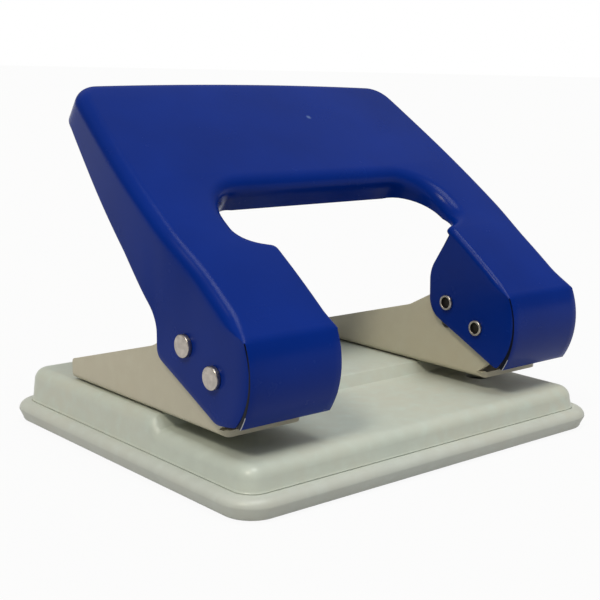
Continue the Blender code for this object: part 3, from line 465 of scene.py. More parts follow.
def turned(name, profile, materials, place, steps=48):
    """Turn a closed profile of (radius, height) points. place is a matrix."""
    bm = bmesh.new()
    rings = []
    for radius, height in profile:
        if radius <= 0.0:
            rings.append([bm.verts.new((0.0, 0.0, height))] * steps)
            continue
        ring = []
        for step in range(steps):
            turn = 2.0 * math.pi * step / steps
            ring.append(bm.verts.new((radius * math.cos(turn), radius * math.sin(turn), height)))
        rings.append(ring)
    loops = list(zip(rings, rings[1:]))
    if profile[0][0] > 0.0:
        loops.append((rings[-1], rings[0]))
    for lower, upper in loops:
        for index in range(steps):
            follow = (index + 1) % steps
            corners = (lower[index], lower[follow], upper[follow], upper[index])
            corners = list(dict.fromkeys(corners))
            if len(corners) > 2:
                bm.faces.new(corners)
    bmesh.ops.recalc_face_normals(bm, faces=bm.faces)
    bm.transform(place)
    return add_piece(name, bm, materials)


def soft_profile(corners, steps=3):
    """Profile with its corners rounded, for turned pieces."""
    return [(point.x, point.y) for point in rounded_outline(corners, steps, closed=False)]


# Materials


def link(tree, source, target):
    """Join two sockets."""
    tree.links.new(source, target)


def noise(tree, vector, scale, detail=2.0, roughness=0.5):
    """Noise texture, from 0 to 1."""
    node = tree.nodes.new("ShaderNodeTexNoise")
    node.inputs["Scale"].default_value = scale
    node.inputs["Detail"].default_value = detail
    node.inputs["Roughness"].default_value = roughness
    link(tree, vector, node.inputs["Vector"])
    return node.outputs["Fac"]


def ramp(tree, value, low, high, start=0.0, end=1.0):
    """Stretch a value between low and high to the range from start to end."""
    node = tree.nodes.new("ShaderNodeMapRange")
    node.inputs["From Min"].default_value = low
    node.inputs["From Max"].default_value = high
    node.inputs["To Min"].default_value = start
    node.inputs["To Max"].default_value = end
    link(tree, value, node.inputs["Value"])
    return node.outputs["Result"]


def mix(tree, share, first, second):
    """Mix two colours. Each is a socket or a colour."""
    node = tree.nodes.new("ShaderNodeMix")
    node.data_type = "RGBA"
    link(tree, share, node.inputs["Factor"])
    for socket, value in ((node.inputs[6], first), (node.inputs[7], second)):
        if isinstance(value, bpy.types.NodeSocket):
            link(tree, value, socket)
        else:
            socket.default_value = (*value, 1.0)
    return node.outputs[2]


def combine(tree, operation, first, second):
    """Maths on two values. Each is a socket or a number."""
    node = tree.nodes.new("ShaderNodeMath")
    node.operation = operation
    for socket, value in zip(node.inputs, (first, second)):
        if isinstance(value, bpy.types.NodeSocket):
            link(tree, value, socket)
        else:
            socket.default_value = value
    return node.outputs[0]


def marked(tree, name):
    """A value that the faces of the mesh carry."""
    node = tree.nodes.new("ShaderNodeAttribute")
    node.attribute_name = name
    return node.outputs["Fac"]


def bump(tree, height, distance, strength, normal=None):
    """Bump from a height."""
    node = tree.nodes.new("ShaderNodeBump")
    node.inputs["Strength"].default_value = strength
    node.inputs["Distance"].default_value = distance
    link(tree, height, node.inputs["Height"])
    if normal is not None:
        link(tree, normal, node.inputs["Normal"])
    return node.outputs["Normal"]


def scaled(colour, factor):
    """A colour made lighter or darker."""
    return tuple(channel * factor for channel in colour)


def start_material(name, roughness, metallic=0.0, specular=0.5):
    """A material with its shader and the object's coordinates."""
    material = bpy.data.materials.new(name)
    material.use_nodes = True
    tree = material.node_tree
    tree.nodes.clear()
    output = tree.nodes.new("ShaderNodeOutputMaterial")
    shader = tree.nodes.new("ShaderNodeBsdfPrincipled")
    link(tree, shader.outputs["BSDF"], output.inputs["Surface"])
    shader.inputs["Roughness"].default_value = roughness
    shader.inputs["Metallic"].default_value = metallic
    shader.inputs["Specular IOR Level"].default_value = specular
    coordinates = tree.nodes.new("ShaderNodeTexCoord")
    return material, tree, shader, coordinates.outputs["Object"]


def specks(tree, vector, scale, share):
    """Sparse dots of dust: 1 inside a dot and 0 outside."""
    cells = tree.nodes.new("ShaderNodeTexVoronoi")
    cells.inputs["Scale"].default_value = scale
    link(tree, vector, cells.inputs["Vector"])
    dot = ramp(tree, cells.outputs["Distance"], 0.16, 0.10)
    chosen = tree.nodes.new("ShaderNodeSeparateColor")
    link(tree, cells.outputs["Color"], chosen.inputs["Color"])
    keep = ramp(tree, chosen.outputs[0], 1.0 - share, 1.0 - share + 0.001)
    return combine(tree, "MULTIPLY", dot, keep)


def lever_enamel(look):
    """Glossy enamel over pressed steel: slow tone changes, orange peel and a few specks."""
    material, tree, shader, place = start_material("lever_enamel", 0.2, specular=0.09)
    tone = ramp(tree, noise(tree, place, 38.0, 3.0), 0.3, 0.7)
    colour = mix(tree, tone, scaled(look.enamel, 0.9), scaled(look.enamel, 1.1))
    dots = specks(tree, place, 160.0, 0.012)
    colour = mix(tree, dots, colour, (0.08, 0.13, 0.32))
    link(tree, colour, shader.inputs["Base Color"])
    haze = ramp(tree, noise(tree, place, 90.0, 4.0, 0.6), 0.3, 0.75, 0.20, 0.30)
    link(tree, haze, shader.inputs["Roughness"])
    peel = noise(tree, place, 520.0, 2.0)
    waves = noise(tree, place, 110.0, 1.0)
    normal = bump(tree, peel, 0.05 * MM, 0.10)
    normal = bump(tree, waves, 0.30 * MM, 0.08, normal)
    link(tree, bump(tree, dots, 0.1 * MM, 0.3, normal), shader.inputs["Normal"])
    return material


def lever_edge(look):
    """Cut edge of the sheet: thin enamel with the steel showing where it's rubbed, pale bare
    steel that also stands in as a painted highlight low on the nose strip, and painted shade deep
    in the seams.
    """
    material, tree, shader, place = start_material("lever_edge", 0.3, specular=0.15)
    rubbed = ramp(tree, noise(tree, place, 420.0, 4.0, 0.7), 0.58, 0.72)
    bare_and_sheen = combine(tree, "MAXIMUM", combine(tree, "MULTIPLY", rubbed, 0.25), marked(tree, "bare_and_sheen"))
    # Pale grey where marked: bare steel, and also a painted highlight on the raw edge low on the
    # strip.
    colour = mix(tree, bare_and_sheen, scaled(look.enamel, 1.2), (0.55, 0.56, 0.58))
    # Painted shade: edge faces deep in the seams are coloured near black.
    colour = mix(tree, marked(tree, "seam_shade"), colour, (0.0015, 0.003, 0.012))
    link(tree, colour, shader.inputs["Base Color"])
    grain = noise(tree, place, 900.0, 2.0)
    link(tree, bump(tree, grain, 0.05 * MM, 0.3), shader.inputs["Normal"])
    return material


def baked_paint(name, colour, warm, roughness=0.34):
    """Pale stoved paint with faint blotches, dust in the film and a fine peel."""
    material, tree, shader, place = start_material(name, roughness, specular=0.45)
    blotch = ramp(tree, noise(tree, place, 26.0, 4.0, 0.6), 0.3, 0.7)
    tinted = mix(tree, blotch, scaled(colour, 0.96), warm)
    fine = ramp(tree, noise(tree, place, 300.0, 3.0), 0.25, 0.75)
    tinted = mix(tree, fine, tinted, mix(tree, fine, tinted, scaled(colour, 1.04)))
    dots = specks(tree, place, 120.0, 0.012)
    tinted = mix(tree, dots, tinted, scaled(colour, 0.35))
    link(tree, tinted, shader.inputs["Base Color"])
    haze = ramp(tree, noise(tree, place, 70.0, 4.0), 0.3, 0.7, roughness - 0.05, roughness + 0.1)
    link(tree, haze, shader.inputs["Roughness"])
    peel = noise(tree, place, 480.0, 2.0)
    waves = noise(tree, place, 60.0, 1.0)
    normal = bump(tree, peel, 0.05 * MM, 0.15)
    link(tree, bump(tree, waves, 0.4 * MM, 0.12, normal), shader.inputs["Normal"])
    return material


def rubbed_metal(name, colour, roughness, scale=900.0):
    """Plated or ground steel with fine scratches and cloudy patches."""
    material, tree, shader, place = start_material(name, roughness, metallic=1.0)
    stretched = tree.nodes.new("ShaderNodeMapping")
    stretched.inputs["Scale"].default_value = (1.0, 0.15, 1.0)
    link(tree, place, stretched.inputs["Vector"])
    lines = noise(tree, stretched.outputs["Vector"], scale * 3.0, 3.0)
    cloud = ramp(tree, noise(tree, place, scale, 3.0), 0.3, 0.7)
    tinted = mix(tree, cloud, scaled(colour, 0.85), scaled(colour, 1.15))
    link(tree, tinted, shader.inputs["Base Color"])
    haze = ramp(tree, lines, 0.3, 0.7, roughness - 0.08, roughness + 0.12)
    link(tree, haze, shader.inputs["Roughness"])
    link(tree, bump(tree, lines, 0.02 * MM, 0.3), shader.inputs["Normal"])
    return material


# Lever


def side_half_width(s):
    """Half width of the lever across its outer flanges, which bow out a little."""
    foot = HALF_SPACING + ARM_WIDTH / 2
    if s <= SIDE_BOW[1][0]:
        return foot
    index = 1
    while index < len(SIDE_BOW) - 2 and s > SIDE_BOW[index + 1][0]:
        index += 1
    slopes = []
    for knot in (index, index + 1):
        before = SIDE_BOW[max(knot - 1, 0)]
        after = SIDE_BOW[min(knot + 1, len(SIDE_BOW) - 1)]
        slopes.append(0.0 if knot == 1 else (after[1] - before[1]) / (after[0] - before[0]))
    (start, near), (end, far) = SIDE_BOW[index], SIDE_BOW[index + 1]
    run = end - start
    t = (s - start) / run
    bow = near * (1.0 + 2.0 * t) * (1.0 - t) ** 2 + far * t * t * (3.0 - 2.0 * t)
    bow += run * (slopes[0] * t * (1.0 - t) ** 2 - slopes[1] * t * t * (1.0 - t))
    return foot + bow


def face_height(s):
    """Height of the face above the pivot: the arms fall away a little to the nose."""
    if s >= ARM_CROWN_REACH:
        share = (s - ARM_CROWN_REACH) / (TOP_REACH - ARM_CROWN_REACH)
        return FACE_HEIGHT + ARM_CROWN + FACE_RISE * share
    share = max((s + BEND_AHEAD) / (ARM_CROWN_REACH + BEND_AHEAD), 0.0)
    return FACE_HEIGHT + ARM_CROWN * share * (2.0 - share)


def nose_line(fold_steps, skirt_steps):
    """Points (s, b) down the nose: the bend from the face, then a long shallow arc."""
    foot = Vector((-BEND_AHEAD - NOSE_REACH, FACE_HEIGHT - NOSE_DROP))
    corner = Vector((-BEND_AHEAD, FACE_HEIGHT))
    chord = foot - corner
    slope = math.atan2(-chord.y, -chord.x) - NOSE_BELLY
    start = -BEND_AHEAD + BEND_RADIUS * math.tan(slope / 2)
    level = face_height(start)
    points = []
    for step in range(fold_steps + 1):
        turn = slope * step / fold_steps
        drop = BEND_RADIUS * (1.0 - math.cos(turn))
        points.append(Vector((start - BEND_RADIUS * math.sin(turn), level - drop)))
    top = points[-1]
    run = foot - top
    half_sweep = math.atan2(-run.y, -run.x) - slope
    radius = run.length / (2.0 * math.sin(half_sweep))
    for step in range(1, skirt_steps + 1):
        turn = slope + 2.0 * half_sweep * step / skirt_steps
        ahead = radius * (math.sin(turn) - math.sin(slope))
        drop = radius * (math.cos(slope) - math.cos(turn))
        points.append(Vector((top.x - ahead, top.y - drop)))
    return points


class LeverSheet:
    """Builds the lever's outer skin as columns of points, half of it, in (x, s, b)."""

    def __init__(self, look):
        self.look = look
        self.folds = look.fold_steps
        self.skirts = 2 * look.fold_steps
        self.nose = nose_line(self.folds, self.skirts)
        self.seam_row = self.folds - 2

    def skirt_column(self, outline_point, outward, fold_radius, edge_point):
        """Points from the face over a fold and down a flange to its free edge."""
        flat = outline_point - outward * fold_radius
        column = []
        for step in range(self.folds + 1):
            turn = step / self.folds * math.pi / 2
            x, s = flat + outward * (fold_radius * math.sin(turn))
            drop = fold_radius * (1.0 - math.cos(turn))
            column.append(Vector((x, s, face_height(s) - drop)))
        start = column[-1]
        for step in range(1, self.skirts + 1):
            column.append(start.lerp(edge_point, step / self.skirts))
        return column

    def corner_column(self, x, hand, fold_radius):
        """Where a side fold dies out into the nose, down to the top of the seam."""
        column = []
        for step in range(self.folds + 1):
            s, b = self.nose[step]
            turn = step / self.folds * math.pi / 2
            column.append(Vector((x - hand * fold_radius * (1.0 - math.sin(turn)), s, b)))
        return column

    def nose_column(self, x, hand, corner):
        """Edge of the nose strip, which stands between the flanges below the seam's top."""
        column = corner[:self.seam_row + 1]
        last = len(self.nose) - 1
        for row in range(self.seam_row + 1, last + 1):
            share = (row - self.seam_row) / (last - self.seam_row)
            gap = SEAM_TOP_GAP + (SEAM_FOOT_GAP - SEAM_TOP_GAP) * share ** 2
            s, b = self.nose[row]
            column.append(Vector((x - hand * gap, s, b)))
        return column

    def front_column(self, x, corner, foot):
        """Front edge of a flange beside the nose, from the seam's top to its foot."""
        column = corner[:self.seam_row + 1]
        last = len(self.nose) - 1
        span = last - self.seam_row
        for row in range(self.seam_row + 1, last + 1):
            share = (row - self.seam_row) / span
            ease = min(share / FLANGE_SETBACK_SHARE, 1.0)
            back = FLANGE_SETBACK_TOP + (FLANGE_SETBACK - FLANGE_SETBACK_TOP) * smooth(ease)
            s, b = self.nose[row]
            column.append(Vector((x, s + back, b)))
        shift = Vector((x, *foot)) - column[-1]
        for row in range(self.seam_row + 1, last + 1):
            share = (row - self.seam_row) / span
            column[row] += shift * share ** 4
        return column

    def flange(self, edge, last, width_at, hand, fold_radius, corner):
        """Columns of a flange beside an arm, from its front edge back to last."""
        corners = [(edge[0][0], edge[0][1] + edge[0][2] * 2.0, 0.0), *edge, (last.x, last.y, 0.0)]
        free = rounded_outline(corners, self.folds, closed=False)[1:]
        middle = self.folds // 2
        free = resample(free[middle:], self.look.spacing)
        shares = path_shares(free)
        length = sum((end - start).length for start, end in zip(free, free[1:]))
        first = self.nose[0].x
        plain = []
        for point, share in zip(free, shares):
            s = first + (last.x - first) * share
            edge_point = Vector((width_at(point.x), point.x, point.y))
            outline = Vector((width_at(s), s))
            plain.append(self.skirt_column(outline, Vector((hand, 0.0)), fold_radius, edge_point))
        front = self.front_column(width_at(first), corner, free[0])
        offset = [near - far for near, far in zip(front, plain[0])]
        columns = []
        for column, share in zip(plain, shares):
            along = share * length
            fade = 1.0 - smooth(along / FRONT_FADE)
            moved = [point + shift * fade for point, shift in zip(column, offset)]
            band = max(1.0 - along / FLANGE_EDGE_BAND, 0.0) ** 2 * FLANGE_EDGE_TURN
            for row in range(self.seam_row + 1, len(moved)):
                ease = min((row - self.seam_row) / self.folds, 1.0)
                moved[row].x -= hand * band * ease
            columns.append(moved)
        return columns

    def rim(self, outline, fold_radii, depths):
        """Columns of a rim that stands square to the face all along an outline."""
        columns = []
        for index in range(1, len(outline) - 1):
            along = (outline[index + 1] - outline[index - 1]).normalized()
            outward = Vector((-along.y, along.x))
            x, s = outline[index]
            edge_point = Vector((x, s, face_height(s) - depths[index]))
            columns.append(self.skirt_column(outline[index], outward, fold_radii[index],
                                             edge_point))
        return columns

    def top_rim(self):
        """Columns of the rim along the top of the handle and round its corner."""
        top_corner = (side_half_width(TOP_REACH), TOP_REACH - TOP_BOW)
        last = TOP_REACH - TOP_CORNER_RADIUS - TOP_BOW
        below = (side_half_width(last), last)
        corner = fillet((0.0, TOP_REACH), top_corner, below, TOP_CORNER_RADIUS,
                        TOP_CORNER_STEPS)
        crown = []
        for step in range(TOP_CROWN_STEPS + 1):
            share = step / TOP_CROWN_STEPS
            drop = (TOP_REACH - corner[0].y) * share * share
            crown.append(Vector((corner[0].x * share, TOP_REACH - drop)))
        top = [Vector((-crown[1].x, crown[1].y))] + crown + corner[1:] + [Vector(below)]
        return self.rim(top, [SIDE_FOLD_RADIUS] * len(top), [RIM_DEPTH] * len(top))

    def opening_rim(self, inside):
        """Columns of the rim round the opening, from the neck of the arm to its middle."""
        opening = rounded_outline((
            (inside, NECK_REACH - 2 * NECK_RADIUS, 0.0),
            (inside, NECK_REACH, NECK_RADIUS),
            (OPENING_HALF_WIDTH, OPENING_LOBE_REACH, OPENING_LOBE_RADIUS),
            (OPENING_HALF_WIDTH, OPENING_TOP, OPENING_TOP_RADIUS),
            (0.0, OPENING_TOP, 0.0),
        ), LOBE_STEPS, closed=False)
        lobe_start = opening[2 + LOBE_STEPS]
        lobe_end = opening[2 + 2 * LOBE_STEPS]
        corner_end = opening[3 + 3 * LOBE_STEPS]
        opening = resample(opening, 2.0 * self.look.spacing)
        opening.append(Vector((-opening[-2].x, OPENING_TOP)))
        start = opening.index(lobe_start)
        end = opening.index(lobe_end)
        corner = opening.index(corner_end)
        radii = []
        depths = []
        for index in range(len(opening)):
            share = smooth((index - start) / (end - start))
            deep = min(max((index - start) / (corner - start), 0.0), 1.0)
            radii.append(ARM_FOLD_RADIUS + (OPENING_FOLD_RADIUS - ARM_FOLD_RADIUS) * share)
            depths.append(NECK_DEPTH + (OPENING_RIM_DEPTH - NECK_DEPTH) * deep)
        return self.rim(opening[1:], radii[1:], depths[1:]), opening[1]

    def build(self, bm):
        """Add the right half's faces to a bmesh."""
        outside = HALF_SPACING + ARM_WIDTH / 2
        inside = HALF_SPACING - ARM_WIDTH / 2
        last = TOP_REACH - TOP_CORNER_RADIUS - TOP_BOW
        side_end = Vector((last, face_height(last) - RIM_DEPTH))
        outer_corner = self.corner_column(outside, 1.0, SIDE_FOLD_RADIUS)
        inner_corner = self.corner_column(inside, -1.0, ARM_FOLD_RADIUS)
        outer = self.flange(OUTER_EDGE, side_end, side_half_width, 1.0, SIDE_FOLD_RADIUS,
                            outer_corner)
        opening, neck = self.opening_rim(inside)
        neck_end = Vector((neck.y, face_height(neck.y) - NECK_DEPTH))
        inner = self.flange(INNER_EDGE, neck_end, lambda s: inside, -1.0, ARM_FOLD_RADIUS,
                            inner_corner)
        before = self.top_rim() + outer[:0:-1]
        after = inner[1:] + opening
        strip = [self.nose_column(outside, 1.0, outer_corner)]
        far = self.nose_column(inside, -1.0, inner_corner)
        near = strip[0]
        for step in range(1, NOSE_STRIP_STEPS + 1):
            share = step / NOSE_STRIP_STEPS
            strip.append([start.lerp(end, share) for start, end in zip(near, far)])

        rows = len(self.nose)
        grid = [[bm.verts.new(point) for point in column] for column in before]
        outer_nose = [bm.verts.new(point) for point in strip[0]]
        outer_front = outer_nose[:self.seam_row + 1]
        outer_front += [bm.verts.new(point) for point in outer[0][self.seam_row + 1:]]
        inner_nose = [bm.verts.new(point) for point in strip[-1]]
        inner_front = inner_nose[:self.seam_row + 1]
        inner_front += [bm.verts.new(point) for point in inner[0][self.seam_row + 1:]]
        middle = [[bm.verts.new(point) for point in column] for column in strip[1:-1]]
        rest = [[bm.verts.new(point) for point in column] for column in after]
        runs = (
            grid + [outer_front],
            [outer_nose, *middle, inner_nose],
            [inner_front] + rest,
        )
        for run in runs:
            for near_column, far_column in zip(run, run[1:]):
                for row in range(rows - 1):
                    bm.faces.new((near_column[row], near_column[row + 1],
                                  far_column[row + 1], far_column[row]))
        ring = [column[0] for column in grid + [outer_nose] + middle + [inner_nose] + rest]
        face = bm.faces.new(ring)
        bmesh.ops.recalc_face_normals(bm, faces=bm.faces)
        face.normal_update()
        if face.normal.z < 0.0:
            bmesh.ops.reverse_faces(bm, faces=bm.faces)
        self.crown_face(bm, face)

    def crown_face(self, bm, face):
        """Slice the flat face across and lay it on the crowned height."""
        pieces = [face]
        start = self.nose[0].x
        count = round((TOP_REACH - start) / (2.0 * self.look.spacing))
        for step in range(1, count):
            s = start + (TOP_REACH - start) * step / count
            around = {edge for piece in pieces for edge in piece.edges}
            corners = {vert for piece in pieces for vert in piece.verts}
            split = bmesh.ops.bisect_plane(bm, geom=[*pieces, *around, *corners],
                                           plane_co=(0.0, s, 0.0), plane_no=(0.0, 1.0, 0.0))
            pieces = [item for item in split["geom"] if isinstance(item, bmesh.types.BMFace)]
        for vert in {vert for piece in pieces for vert in piece.verts}:
            vert.co.z = face_height(vert.co.y)


def lever_matrix():
    """Takes the lever's own frame to its place at rest."""
    return Matrix.Translation(PIVOT) @ Matrix.Rotation(REST_ANGLE, 4, "X")


def pin_places():
    """Where the two pins pass through an arm, as (s, b) in the lever's frame."""
    drive_s = DRIVE_RADIUS * math.cos(DRIVE_BELOW_FACE)
    drive_b = -DRIVE_RADIUS * math.sin(DRIVE_BELOW_FACE)
    return {"pivot": (0.0, 0.0), "drive": (drive_s, drive_b)}


def from_line(line, s, b):
    """Distance from a point (s, b) to a run of points."""
    spot = Vector((s, b))
    least = math.inf
    for start, end in zip(line, line[1:]):
        run = end - start
        share = min(max((spot - start).dot(run) / run.length_squared, 0.0), 1.0)
        least = min(least, (spot - start.lerp(end, share)).length)
    return least


def seam_share(place, sheet):
    """How far the sheet's edge is rounded: little along a seam, hardly at all at its top."""
    x, s, b = lever_matrix().inverted() @ place
    top = sheet.nose[sheet.seam_row]
    beside = abs(abs(x) - HALF_SPACING) - ARM_WIDTH / 2
    away = math.hypot(beside, s - top.x, b - top.y)
    share = smooth((away - 1.2 * MM) / (2.5 * MM))
    share = SEAM_EDGE_SHARE + (1.0 - SEAM_EDGE_SHARE) * share
    if abs(beside) > SEAM_REACH or s > SEAM_BACK:
        return share
    if from_line(sheet.nose, s, b) > 0.12 * MM:
        return min(share, SEAM_EDGE_SHARE)
    return min(share, 0.3 + 0.5 * smooth((2.0 * MM - b) / (4.0 * MM)))


def mark_seams(piece, sheet):
    """Mark the seams beside the nose: painted shade on the sheet's edges deep inside, and bare
    steel with a painted highlight low on the strip.
    """
    mesh = piece.data
    bare_and_sheen = mesh.attributes.new("bare_and_sheen", "FLOAT", "FACE")
    seam_shade = mesh.attributes.new("seam_shade", "FLOAT", "FACE")
    back = lever_matrix().inverted()
    for face in mesh.polygons:
        x, s, b = back @ face.center
        beside = abs(abs(x) - HALF_SPACING) - ARM_WIDTH / 2
        if abs(beside) > SHADE_AND_BARE_REACH or s > SEAM_BACK:
            continue
        on_strip = b < 0.0 and from_line(sheet.nose, s, b) < 0.15 * MM
        # Partly painted highlight: the rounded edge faces low on the strip get pale bare-steel
        # colour, brighter lower down.
        if on_strip and BARE_SHEEN_TILT[0] < abs(face.normal.x) < BARE_SHEEN_TILT[1]:
            face.material_index = 1
            bare_and_sheen.data[face.index].value = smooth((1.5 * MM - b) / (2.0 * MM))
        # Painted shade: the other edge faces near the seam are marked to be coloured dark.
        elif face.material_index == 1:
            seam_shade.data[face.index].value = 1.0


class PUNCH_OT_lever(bpy.types.Operator):
    """Press the lever from one sheet, with open seams beside each nose"""

    bl_idname = "punch.lever"
    bl_label = "Lever"

    def execute(self, context):
        look = context.scene.punch_lever
        bm = bmesh.new()
        sheet = LeverSheet(look)
        sheet.build(bm)
        half = bm.faces[:]
        copy = bmesh.ops.duplicate(bm, geom=bm.verts[:] + bm.edges[:] + half)
        copied = [item for item in copy["geom"] if isinstance(item, bmesh.types.BMFace)]
        for vert in {vert for face in copied for vert in face.verts}:
            vert.co.x = -vert.co.x
        bmesh.ops.reverse_faces(bm, faces=copied)
        bmesh.ops.remove_doubles(bm, verts=bm.verts[:], dist=0.002 * MM)
        bm.transform(lever_matrix())
        lever = add_piece("lever_pressing", bm, [lever_enamel(look), lever_edge(look)])
        shell = thicken(lever, look.sheet)
        shell.use_quality_normals = True
        shell.material_offset_rim = 1
        settle(lever)
        round_edges(lever, look.edge, lambda place: seam_share(place, sheet))
        mark_seams(lever, sheet)
        dress(lever, "lever", "blue_enamel", "lever")
        return {"FINISHED"}


class PUNCH_OT_rivets(bpy.types.Operator):
    """Turn the pins of the arms, with flat heads outside and clinched ends inside"""

    bl_idname = "punch.rivets"
    bl_label = "Rivets"

    def execute(self, context):
        nickel = rubbed_metal("rivet_nickel", context.scene.punch_steel.nickel, 0.34)
        # Painted shade: a dark metal for the bore walls, in place of the shade inside the holes.
        bore_shade_metal = rubbed_metal("rivet_bore_shade", context.scene.punch_steel.bore, 0.6)
        seat = ARM_WIDTH / 2 + PIN_PLAY
        head_top = seat + HEAD_HEIGHT
        clinch = seat + CLINCH_HEIGHT
        profile = soft_profile((
            (0.0, head_top, 0.0),
            (HEAD_RADIUS, head_top, HEAD_ROUND),
            (HEAD_RADIUS, seat, SEAT_ROUND),
            (SHANK_RADIUS, seat, 0.0),
            (SHANK_RADIUS, -seat, 0.0),
            (CLINCH_RADIUS, -seat, SEAT_ROUND),
            (CLINCH_RADIUS, -clinch, HEAD_ROUND),
            (BORE_MOUTH, -clinch, BORE_ROUND),
            (BORE_MOUTH, -clinch + BORE_DEPTH, 0.0),
            (0.0, -clinch + BORE_DEPTH, 0.0),
        ))
        for name, (s, b) in pin_places().items():
            for side, sign in SIDES:
                turn = Matrix.Rotation(sign * math.pi / 2, 4, "Y")
                place = lever_matrix() @ Matrix.Translation((sign * HALF_SPACING, s, b)) @ turn
                node = name + "_rivet_" + side
                rivet = turned(node + "_turned", profile, [nickel, bore_shade_metal], place)
                self.paint_bore_shade(rivet, place)
                dress(rivet, "lever", "nickel_plate", node)
        return {"FINISHED"}

    def paint_bore_shade(self, rivet, place):
        """Give the bore's wall a dark colour: painted shade inside the hole."""
        back = place.inverted()
        for face in rivet.data.polygons:
            x, y, z = back @ face.center
            if z < 0.0 and math.hypot(x, y) < BORE_MOUTH + 0.02 * MM:
                face.material_index = 1


# Base


def base_outline(inset, spacing, corner_steps=14):
    """Right half of the base's outline, moved in by inset, from front to rear."""
    half_width = BASE_WIDTH / 2 - BASE_TRIM - inset
    half_depth = BASE_DEPTH / 2 - BASE_TRIM - inset
    radius = max(BASE_CORNER_RADIUS - inset, BASE_CORNER_LEAST)
    front = (0.0, -half_depth)
    rear = (0.0, half_depth)
    front_corner = (half_width, -half_depth)
    rear_corner = (half_width, half_depth)
    points = fillet(front, front_corner, rear_corner, radius, corner_steps)
    last = fillet(front_corner, rear_corner, rear, radius, corner_steps)
    count = math.ceil((BASE_DEPTH - 2 * BASE_CORNER_RADIUS) / spacing)
    start = points[-1]
    points += [start.lerp(last[0], step / count) for step in range(1, count)]
    return points + last


def loft(bm, rings):
    """Join closed rings of equal length with faces."""
    for lower, upper in zip(rings, rings[1:]):
        for index in range(len(lower)):
            follow = (index + 1) % len(lower)
            bm.faces.new((lower[index], lower[follow], upper[follow], upper[index]))


def base_ring(bm, inset, height_at, spacing=1.0 * MM):
    """A closed ring of vertices round the base. height_at(y) gives their height."""
    half = base_outline(inset, spacing)
    loop = half + [Vector((-x, y)) for x, y in reversed(half)]
    return [bm.verts.new((x, y, height_at(y))) for x, y in loop]


def table_top(y):
    """Height of the plate's top: the paper table in front, the land behind the stop."""
    share = (y - STOP_Y + STOP_SLOPE_LENGTH / 2) / STOP_SLOPE_LENGTH
    return TABLE_HEIGHT + LAND_RISE * smooth(share)


class PUNCH_OT_tray(bpy.types.Operator):
    """Mould the chip tray, with its round lip and the groove that takes the plate"""

    bl_idname = "punch.tray"
    bl_label = "Chip tray"

    def execute(self, context):
        look = context.scene.punch_base
        steps = 10
        lip_top = TRAY_LIP_SIDE + TRAY_LIP_RISE
        groove = PLATE_INSET - LIP_SEAM
        rib = PLATE_INSET + PLATE_WALL_DRAFT + PLATE_SHEET + SEAT_GAP
        sections = [(TRAY_FOOT_INSET + TRAY_FOOT_CHAMFER, 0.0)]
        sections += [(TRAY_FOOT_INSET + TRAY_FOOT_CHAMFER * (1.0 - math.sin(turn)),
                      TRAY_FOOT_CHAMFER * (1.0 - math.cos(turn)))
                     for turn in (math.pi / 8 * step for step in range(1, 5))]
        for step in range(steps + 1):
            turn = step / steps * math.pi / 2
            inset = TRAY_LIP_ROUND * (1.0 - math.cos(turn))
            sections.append((inset, TRAY_LIP_SIDE + TRAY_LIP_RISE * math.sin(turn)))
        soft = soft_profile((
            (sections[-1][0], lip_top, 0.0),
            (groove, lip_top, 0.25 * MM),
            (groove, TRAY_GROOVE_FLOOR, 0.2 * MM),
            (rib, TRAY_GROOVE_FLOOR, 0.2 * MM),
            (rib, TRAY_RIB_HEIGHT, 0.3 * MM),
            (rib + TRAY_RIB_WIDTH, TRAY_RIB_HEIGHT, 0.3 * MM),
            (rib + TRAY_RIB_WIDTH, TRAY_FLOOR, 0.8 * MM),
            (rib + TRAY_RIB_WIDTH + 2.0 * MM, TRAY_FLOOR, 0.0),
        ))
        bm = bmesh.new()
        rings = []
        for inset, height in sections + soft[1:]:
            rings.append(base_ring(bm, inset, lambda y, level=height: level, 6.0 * MM))
        loft(bm, rings)
        bm.faces.new(rings[0])
        bm.faces.new(rings[-1])
        bmesh.ops.recalc_face_normals(bm, faces=bm.faces)
        finish = baked_paint("tray_moulding", look.tray, (0.50, 0.50, 0.44), 0.4)
        tray = add_piece("tray_moulding", bm, [finish])
        dress(tray, "tray", "tray_plastic", "chip_tray")
        return {"FINISHED"}


